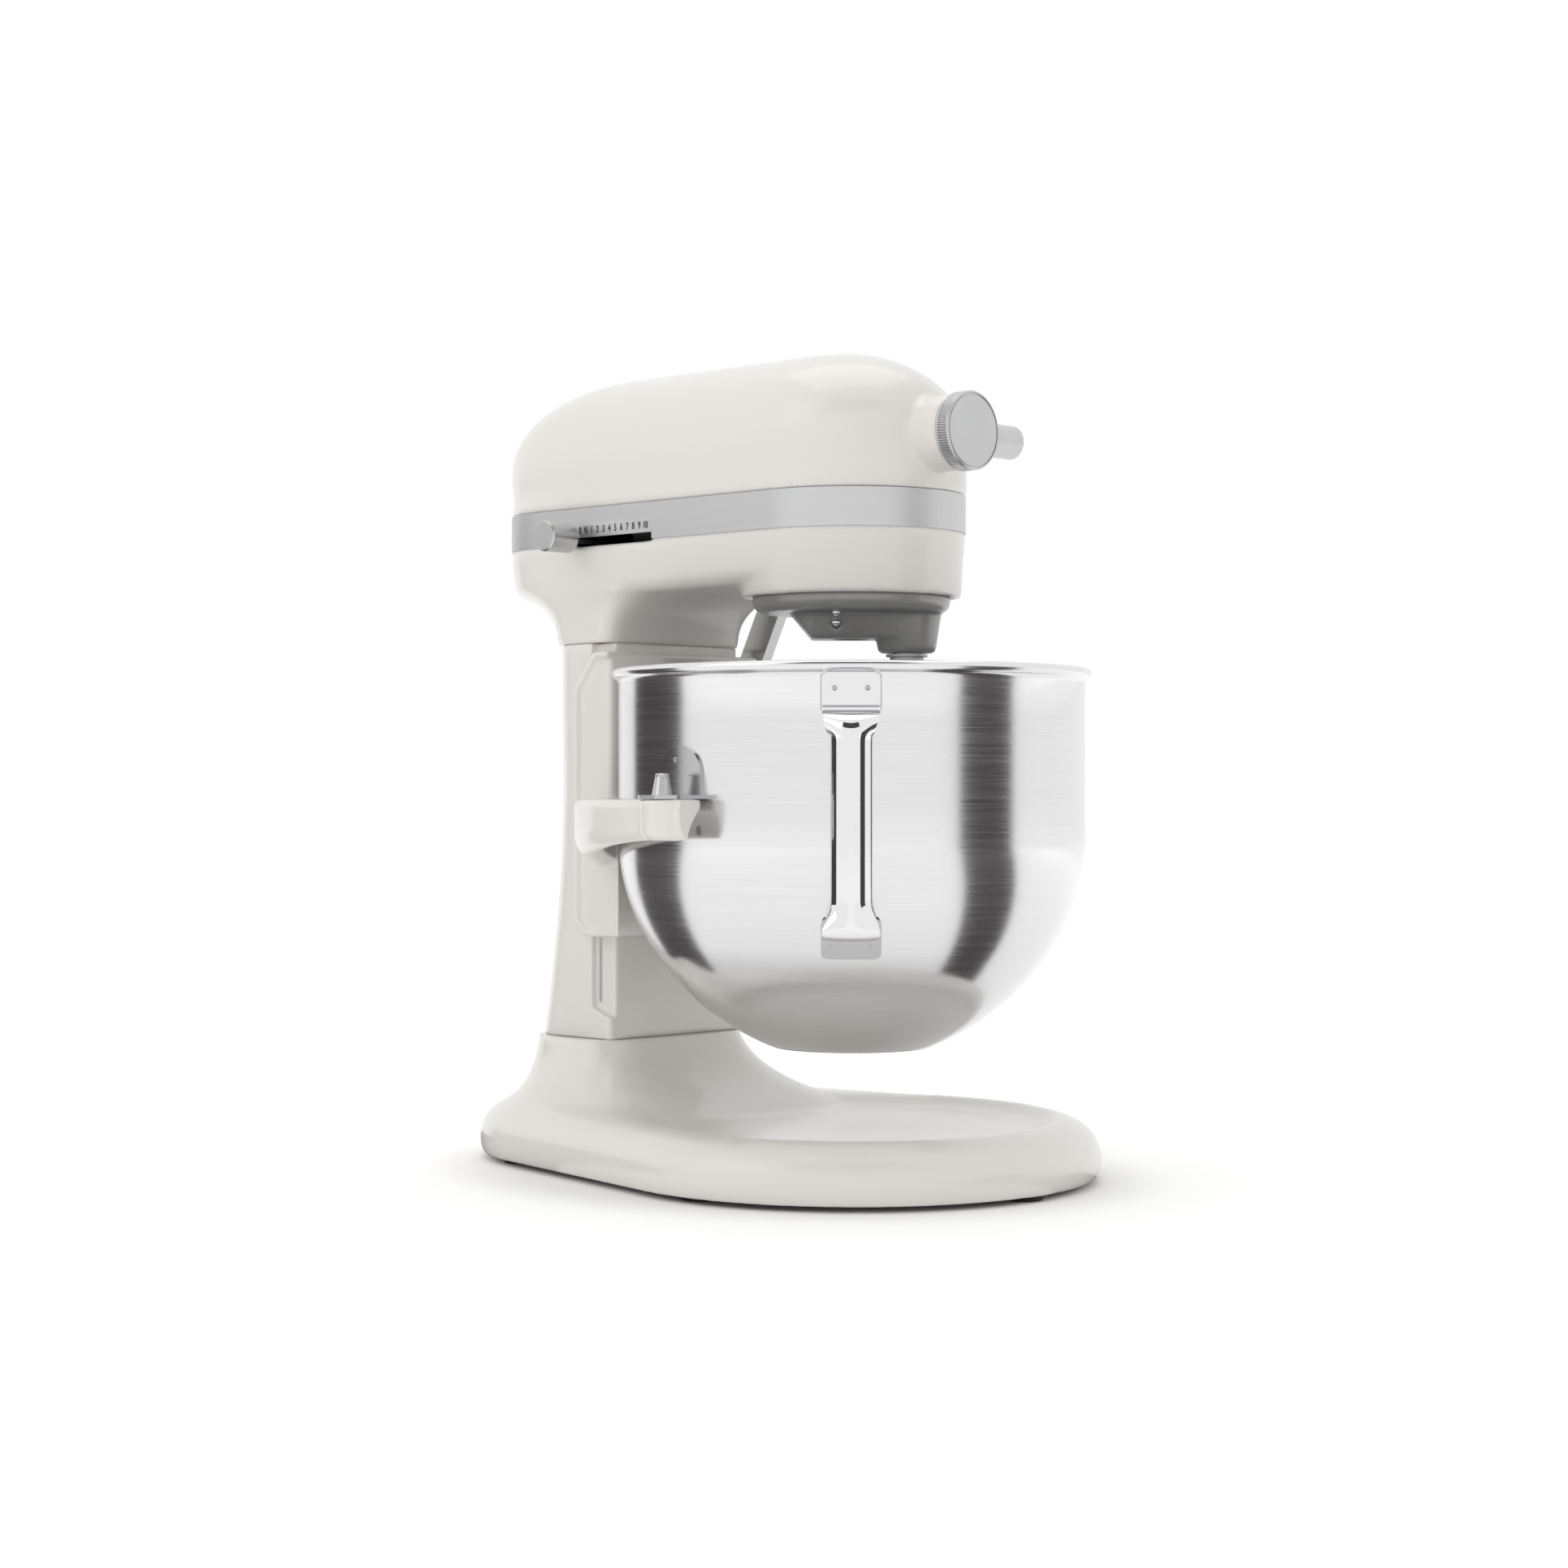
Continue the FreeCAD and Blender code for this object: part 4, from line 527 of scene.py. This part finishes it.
def curve_between(start, end, radius, count):
    """An arc from start to end that bulges out and down."""
    first = Vector(start)
    last = Vector(end)
    along = last - first
    half = along.length / 2
    out = Vector((along.y, -along.x)).normalized()
    centre = (first + last) / 2 - out * math.sqrt(radius * radius - half * half)
    from_angle = math.degrees(math.atan2(first.y - centre.y, first.x - centre.x))
    to_angle = math.degrees(math.atan2(last.y - centre.y, last.x - centre.x))
    return arc_points(centre, radius, from_angle, to_angle, count)


def make_bowl():
    bm = lathe(bowl_profile(*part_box("bowl_shell")), 288)
    move_bmesh(bm, Matrix.Translation((AXIS_X, 0, 0)))
    bowl = new_piece("mixing_bowl", bm, "bowl", MATERIALS["bowl_steel"], 60)
    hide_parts("bowl_shell")


make_bowl()


WALL_REACH = 117.6


def wall_radius(height):
    """The bowl's outer radius in millimetres at a height."""
    side = 104
    if height >= KNEE / MM:
        return WALL_REACH
    return WALL_REACH - side + math.sqrt(side ** 2 - (KNEE / MM - height) ** 2)


HANDLE_TURN = math.radians(-47.4)
PLATE_REACH = 118.3      # the handle's sizes in millimetres, measured out from the bowl's axis
PLATE_TOP = 251.3
PLATE_HALF = 13.8
SHELF = 231.9
GRIP_REACH = 147.6
FOOT = 127.2
GRIP_HALF = 9.8
GRIP_DEPTH = 9.2


def at_handle(reach, across, height):
    """A point by its distance out from the bowl's axis, across the handle and up, in millimetres."""
    out = Vector((math.cos(HANDLE_TURN), math.sin(HANDLE_TURN)))
    side = Vector((-out.y, out.x))
    flat = out * reach + side * across
    return row(flat.x, flat.y, height)


def between(stops, place):
    """A value eased between (place, value) stops."""
    for (low, first), (high, second) in zip(stops, stops[1:]):
        if place <= high:
            share = min(max((place - low) / (high - low), 0), 1)
            share = share * share * (3 - 2 * share)
            return first + (second - first) * share
    return stops[-1][1]


def handle_strap():
    """One pressed sheet: a flat plate on the wall, a sharp bend out, then a half-round grip."""
    corners = [(PLATE_REACH, PLATE_TOP), (PLATE_REACH, SHELF), (GRIP_REACH, SHELF), (GRIP_REACH, FOOT),
               (110.2, 126.0)]
    path = rounded_line(corners, [1.3, 11, 6.5], 0.8)
    lengths = [0.0]
    for start, end in zip(path, path[1:]):
        lengths.append(lengths[-1] + (end - start).length)
    total = lengths[-1]
    shelf = PLATE_TOP - SHELF
    crown = shelf + GRIP_REACH - PLATE_REACH
    foot = crown + SHELF - FOOT - 8
    widths = [(0, PLATE_HALF), (crown - 12, 13.6), (crown + 8, GRIP_HALF), (foot - 16, GRIP_HALF),
              (foot, 13.3), (total, 13.6)]
    arches = [(0, 0.75), (shelf, 0.4), (crown - 15, 0.4), (crown + 9, GRIP_DEPTH), (foot - 15, GRIP_DEPTH),
              (foot, 1.2), (total, 0.3)]
    corner = 3
    spread = math.radians(80)
    lines = []
    for index, (place, point) in enumerate(zip(lengths, path)):
        ahead = path[min(index + 1, len(path) - 1)] - path[max(index - 1, 0)]
        out = Vector((-ahead.y, ahead.x)).normalized()
        wide = between(widths, place)
        if place < corner:
            wide -= corner - math.sqrt(corner ** 2 - (corner - place) ** 2)
        deep = between(arches, place)
        line = []
        for step in range(-24, 25):
            turn = spread * step / 24
            back = deep * (1 - math.cos(turn)) / (1 - math.cos(spread))
            line.append(at_handle(point.x - out.x * back, wide * math.sin(turn) / math.sin(spread),
                                  point.y - out.y * back))
        lines.append(line)
    return thicken(sheet(lines), 1.1 * MM)


def wall_patch(half, low, high, corner, proud):
    """Rows of points for a plate that hugs the bowl's wall by the handle, with rounded corners."""
    lines = []
    count = 28
    for index in range(count + 1):
        height = low + (high - low) * index / count
        edge = min(height - low, high - height)
        wide = half - (corner - math.sqrt(corner ** 2 - max(corner - edge, 0) ** 2))
        line = []
        for step in range(-20, 21):
            across = wide * step / 20
            radius = wall_radius(height) + proud
            line.append(at_handle(math.sqrt(radius ** 2 - across ** 2), across, height))
        lines.append(line)
    return lines


def turned(profile, steps, place, facing=Vector((0, 0, 1))):
    """A lathed shape in millimetres, set at a place with its axis along a direction."""
    bm = lathe([(radius * MM, height * MM) for radius, height in profile], steps)
    return move_bmesh(bm, Matrix.Translation(place) @ facing.to_track_quat("Z", "Y").to_matrix().to_4x4())


def dimple(place, facing):
    """A spot weld's shallow ring."""
    profile = [(0, -0.4), (1.35, -0.4), (1.3, 0.0), (1.15, 0.13), (0.95, 0.16), (0.8, 0.06), (0.5, -0.04),
               (0, -0.06)]
    return turned(profile, 24, place, facing)


def make_handle():
    """The strap, its foot plate, dark strips of painted shade at the folds and round the outline of its top plate,
    and the spot welds.
    """
    strap = new_piece("handle_strap", handle_strap(), "bowl", MATERIALS["polished_steel"], 50)
    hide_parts("bowl_handle")
    foot_proud = 1.4
    plate = thicken(sheet(wall_patch(14.2, 116.6, 135.9, 3, foot_proud)), 1.2 * MM)
    lower = new_piece("handle_foot_plate", plate, "bowl", PLATE_STEEL, 50)
    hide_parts("handle_plates")
    # Painted shade: a dark steel sheet a little larger than the top plate, behind it, shows as a dark outline
    # round it, and two dark strips stand for the shade in the fold below it.
    fold_shade_parts = [thicken(sheet(wall_patch(PLATE_HALF + 0.45, SHELF - 0.3, PLATE_TOP + 0.45, 3, 0.3)), 0.5 * MM)]
    for height in (235.2, 232.9):
        fold_shade_parts.append(thicken(sheet(wall_patch(13.4, height - 0.5, height + 0.5, 0.5, 1.95)), 0.6 * MM))
    fold_shade_piece = new_piece("handle_fold_shade", joined(fold_shade_parts), "bowl", MATERIALS["gear_steel"], 50)
    welds = []
    out = Vector((math.cos(HANDLE_TURN), math.sin(HANDLE_TURN), 0))
    for across in (-7.7, 7.7):
        welds.append(dimple(at_handle(PLATE_REACH, across, 243.7), out))
    height = 123
    for across in (-9.2, 8.7):
        reach = math.sqrt((wall_radius(height) + foot_proud) ** 2 - across ** 2)
        welds.append(dimple(at_handle(reach, across, height), (out + Vector((0, 0, -0.5))).normalized()))
    piece = new_piece("handle_welds", joined(welds), "bowl", PLATE_STEEL, 60)


def make_bracket_welds():
    """Two spot welds on each of the bowl's brackets."""
    bracket_reach = 119.2
    welds = []
    for side in (-1, 1):
        for x, height in ((-4.5, 210.5), (5.5, 202.5)):
            reach = math.sqrt(bracket_reach ** 2 - x ** 2)
            facing = Vector((x, side * reach, 0)).normalized()
            welds.append(dimple(row(x, side * reach, height), facing))
    piece = new_piece("bracket_welds", joined(welds), "bowl", PLATE_STEEL, 60)


def make_pins():
    """Turned locating pins: a short collar, a long cone and a rounded tip with a fine groove."""
    profile = [(0, 190), (5.25, 190), (5.25, 192.6), (5.1, 193), (3.42, 202.0), (3.3, 202.3), (3.42, 202.6),
               (3.2, 203.6), (2.7, 204), (0, 204)]
    pins = [turned(profile, 64, row(0, side, 0)) for side in (-132, 132)]
    piece = new_piece("pin_cones", joined(pins), "yoke", PLATE_STEEL, 35)
    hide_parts("locating_pins")


def make_pin_heads():
    """The two bright domed pin heads on the planetary's wedge, a little proud of the casting."""
    low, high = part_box("beater_shaft")
    shaft = (Vector(low) + Vector(high)) / 2
    along = Vector((shaft.x - AXIS_X, shaft.y, 0)).normalized()
    out = Vector((along.y, -along.x, 0))
    profile = [(0, -2), (2.3, -2), (2.3, 0.2), (2.2, 0.9), (1.8, 1.6), (1.1, 2.1), (0, 2.3)]
    heads = []
    for height, reach in ((284.9, 18.8), (279.9, 17.5)):
        heads.append(turned(profile, 32, row(0, 0, height) - 8 * MM * along + reach * MM * out, out))
    piece = new_piece("pin_heads", joined(heads), "planetary", MATERIALS["polished_steel"], 60)
    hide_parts("planet_pins")


def make_cap():
    """The hub cap: a flat face with a fine bevel, and a straight knurl of 96 teeth round the edge."""
    low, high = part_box("hub_cap")
    radius = (high.z - low.z) / 2
    thick = high.x - low.x
    per_tooth = 6
    steps = 96 * per_tooth
    bm = bmesh.new()
    # (radius, depth, whether the knurl cuts it)
    profile = [(0.0, 0.0, 0), (radius - 0.0006, 0.0, 0), (radius, 0.0006, 0), (radius, 0.0013, 0),
               (radius, 0.00135, 1), (radius, thick - 0.00125, 1), (radius, thick - 0.0012, 0),
               (radius, thick - 0.0006, 0), (radius - 0.0005, thick - 0.0001, 0), (radius - 0.0008, thick, 0),
               (radius - 0.0011, thick, 0), (radius - 0.0012, thick - 0.0006, 0),
               (radius - 0.0017, thick - 0.0006, 0), (radius - 0.0018, thick - 0.0002, 0),
               (0.012, thick - 0.0002, 0), (0.0, thick - 0.0002, 0)]
    rings = []
    for reach, depth, cut in profile:
        ring = []
        for index in range(steps):
            angle = 2 * math.pi * index / steps
            groove = 0.0007 * max(0.0, math.cos(2 * math.pi * (index % per_tooth) / per_tooth)) if cut else 0.0
            spoke = max(reach - groove, 0.00001)
            ring.append(bm.verts.new((depth, spoke * math.cos(angle), spoke * math.sin(angle))))
        rings.append(ring)
    for first, second in zip(rings, rings[1:]):
        for index in range(steps):
            after = (index + 1) % steps
            bm.faces.new((first[index], first[after], second[after], second[index]))
    move_bmesh(bm, Matrix.Translation((low.x, 0, (low.z + high.z) / 2)))
    cap = new_piece("knurled_cap", bm, "cap", MATERIALS["satin_metal"], 30)
    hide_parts("hub_cap")


make_handle()
make_bracket_welds()
make_pins()
make_pin_heads()
make_cap()


# ---- speed scale --------------------------------------------------------------------------------------------

def make_scale():
    """Printed speed numbers above the slot, as thin raised ink."""
    ink = moulded("printed_ink", (0.03, 0.03, 0.032), 0.5, 0.6, 2000)
    band_low, band_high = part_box("trim_band")
    labels = ["0", "½"] + [str(number) for number in range(1, 11)]
    first = AXIS_X - 0.1405
    last = AXIS_X - 0.0905
    for index, label in enumerate(labels):
        text = bpy.data.curves.new("speed_number", "FONT")
        text.body = label
        text.size = 0.0050
        text.align_x = "CENTER"
        text.extrude = 0.00008
        text.offset = 0.00009
        made = bpy.data.objects.new("speed_number", text)
        SCENE.collection.objects.link(made)
        made.rotation_euler = (math.radians(90), 0, 0)
        made.scale = (0.72, 1, 1)      # a narrow figure
        x = first + (last - first) * index / (len(labels) - 1)
        made.location = (x, band_low.y - 0.00006, band_low.z + 0.0056)
        bpy.context.view_layer.update()
        mesh = bpy.data.meshes.new_from_object(made)
        mesh.transform(made.matrix_world)
        bpy.data.objects.remove(made)
        piece = bpy.data.objects.new(f"speed_mark_{index}", mesh)
        SCENE.collection.objects.link(piece)
        mesh.materials.clear()
        mesh.materials.append(ink)
        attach(piece, "stand")


make_scale()


# ---- studio ----------------------------------------------------------------------------------------------------

CAMERA_OUT = (0.98246, -1.06643)      # the camera's place from the mixing axis
VIEW = math.degrees(math.atan2(CAMERA_OUT[1], CAMERA_OUT[0]))


def make_floor():
    """A pale floor that glows, a little round the mixer and more far behind it, so that it reads as one white;
    under and right by the base it does not glow, which leaves a painted contact shadow there.
    """
    bm = bmesh.new()
    bmesh.ops.create_grid(bm, x_segments=2, y_segments=2, size=6)
    mesh = bpy.data.meshes.new("floor")
    bm.to_mesh(mesh)
    bm.free()
    floor = bpy.data.objects.new("floor", mesh)
    SCENE.collection.objects.link(floor)
    shader = Shader("pale_floor_painted_glow", (0.9, 0.9, 0.9), roughness=1.0)
    shader.main.inputs["Specular IOR Level"].default_value = 0.0
    shader.tint(shader.ramp(shader.noise(3, 2), 0, 1), (0.895, 0.895, 0.895), (0.9, 0.9, 0.9))
    shader.main.inputs["Emission Color"].default_value = (1, 1, 1, 1)
    centred = shader.add("ShaderNodeVectorMath", operation="SUBTRACT")
    centred.inputs[1].default_value = (AXIS_X - 0.045, 0, 0)
    shader.link(shader.place, centred.inputs[0])
    shaped = shader.add("ShaderNodeVectorMath", operation="MULTIPLY")
    shaped.inputs[1].default_value = (1 / 0.168, 1 / 0.138, 0)
    shader.link(centred.outputs[0], shaped.inputs[0])
    reach = shader.add("ShaderNodeVectorMath", operation="LENGTH")
    shader.link(shaped.outputs[0], reach.inputs[0])
    # Painted contact shadow: no glow under the base, rising to full glow a little outside its edge.
    glow_round_painted_shadow = shader.add("ShaderNodeMapRange", interpolation_type="SMOOTHSTEP")
    far = shader.add("ShaderNodeMapRange", interpolation_type="SMOOTHSTEP")
    for node, stops in ((glow_round_painted_shadow, (0.9, 1.3, 0.0, 0.22)), (far, (2.0, 14.0, 0.0, 0.12))):
        for name, value in zip(("From Min", "From Max", "To Min", "To Max"), stops):
            node.inputs[name].default_value = value
        shader.link(reach.outputs["Value"], node.inputs["Value"])
    glow = shader.add("ShaderNodeMath", operation="ADD")
    shader.link(glow_round_painted_shadow.outputs["Result"], glow.inputs[0])
    shader.link(far.outputs["Result"], glow.inputs[1])
    shader.link(glow.outputs[0], shader.main.inputs["Emission Strength"])
    floor.data.materials.append(shader.material)


def make_world():
    """A pale dome, brighter on the key side, and plain white behind the mixer."""
    world = bpy.data.worlds.new("studio")
    SCENE.world = world
    world.use_nodes = True
    tree = world.node_tree
    dome = tree.nodes["Background"]
    dome.inputs["Color"].default_value = (1, 0.995, 0.985, 1)
    angle = math.radians(VIEW - 75)
    facing = tree.nodes.new("ShaderNodeVectorMath")
    facing.operation = "DOT_PRODUCT"
    facing.inputs[1].default_value = (0.8 * math.cos(angle), 0.8 * math.sin(angle), 0.6)
    tree.links.new(tree.nodes.new("ShaderNodeTexCoord").outputs["Generated"], facing.inputs[0])
    level = tree.nodes.new("ShaderNodeMapRange")
    for name, value in (("From Min", -1), ("From Max", 1), ("To Min", 0.58), ("To Max", 0.88)):
        level.inputs[name].default_value = value
    tree.links.new(facing.outputs["Value"], level.inputs["Value"])
    tree.links.new(level.outputs["Result"], dome.inputs["Strength"])
    backdrop = tree.nodes.new("ShaderNodeBackground")
    backdrop.inputs["Color"].default_value = (1, 1, 1, 1)
    rays = tree.nodes.new("ShaderNodeLightPath")
    mix = tree.nodes.new("ShaderNodeMixShader")
    tree.links.new(rays.outputs["Is Diffuse Ray"], mix.inputs[0])
    tree.links.new(backdrop.outputs[0], mix.inputs[1])
    tree.links.new(dome.outputs[0], mix.inputs[2])
    tree.links.new(mix.outputs[0], tree.nodes["World Output"].inputs["Surface"])


def area_light(name, azimuth, height, distance, size, power, glossy=True):
    """A softbox round the mixer; azimuth 0 is towards +X, anticlockwise from above."""
    angle = math.radians(azimuth)
    light = bpy.data.lights.new(name, "AREA")
    light.shape = "RECTANGLE"
    light.size = size[0]
    light.size_y = size[1]
    light.energy = power
    lamp = bpy.data.objects.new(name, light)
    lamp.location = (distance * math.cos(angle), distance * math.sin(angle), height)
    lamp.visible_glossy = glossy
    SCENE.collection.objects.link(lamp)
    toward = Vector((0, 0, 0.2)) - lamp.location
    lamp.rotation_euler = toward.to_track_quat("-Z", "Y").to_euler()


def dark_flag(name, first, last, section):
    """A dark studio cloth round the mixer, shaped by its section. It shows in reflections only."""
    steps = 8
    lines = []
    for reach, height in section:
        line = []
        for step in range(steps + 1):
            angle = math.radians(first + (last - first) * step / steps)
            line.append(Vector((AXIS_X + reach * math.cos(angle), reach * math.sin(angle), height)))
        lines.append(line)
    mesh = bpy.data.meshes.new(name)
    bm = sheet(lines)
    bm.to_mesh(mesh)
    bm.free()
    flag = bpy.data.objects.new(name, mesh)
    shader = Shader(name + "_cloth", (0.055, 0.047, 0.049), roughness=0.9)
    shader.bump(shader.noise(400, 2), 0.0002)
    flag.data.materials.append(shader.material)
    SCENE.collection.objects.link(flag)
    flag.visible_camera = False
    flag.visible_diffuse = False
    flag.visible_shadow = False


def make_camera():
    """The viewpoint: 44 degrees round from the lever's side, level, 1.45 m away."""
    lens = bpy.data.cameras.new("camera")
    lens.sensor_width = 36
    lens.lens = 65.78
    lens.clip_start = 0.01
    camera = bpy.data.objects.new("camera", lens)
    camera.location = (AXIS_X + CAMERA_OUT[0], CAMERA_OUT[1], 0.199)
    camera.rotation_euler = (math.radians(90), 0, math.radians(44))
    SCENE.collection.objects.link(camera)
    SCENE.camera = camera


make_camera()
make_floor()
make_world()
SCENE.view_settings.view_transform = "Standard"
area_light("key_softbox", VIEW - 60, 1.7, 2.0, (1.5, 1.5), 4)
area_light("fill_softbox", VIEW + 110, 1.0, 2.0, (1.0, 1.6), 3, glossy=False)
area_light("top_softbox", VIEW + 180, 2.2, 0.5, (1.6, 1.6), 7)
upright = ((0.1, 0.002), (2.4, 0.002), (2.4, 0.46))
dark_flag("left_flag", VIEW - 130, VIEW - 88, upright)
dark_flag("right_flag", VIEW + 52, VIEW + 82, upright)
dark_flag("overhead_flag", VIEW - 35, VIEW + 35, ((1.5, 1.25), (0.9, 1.9)))
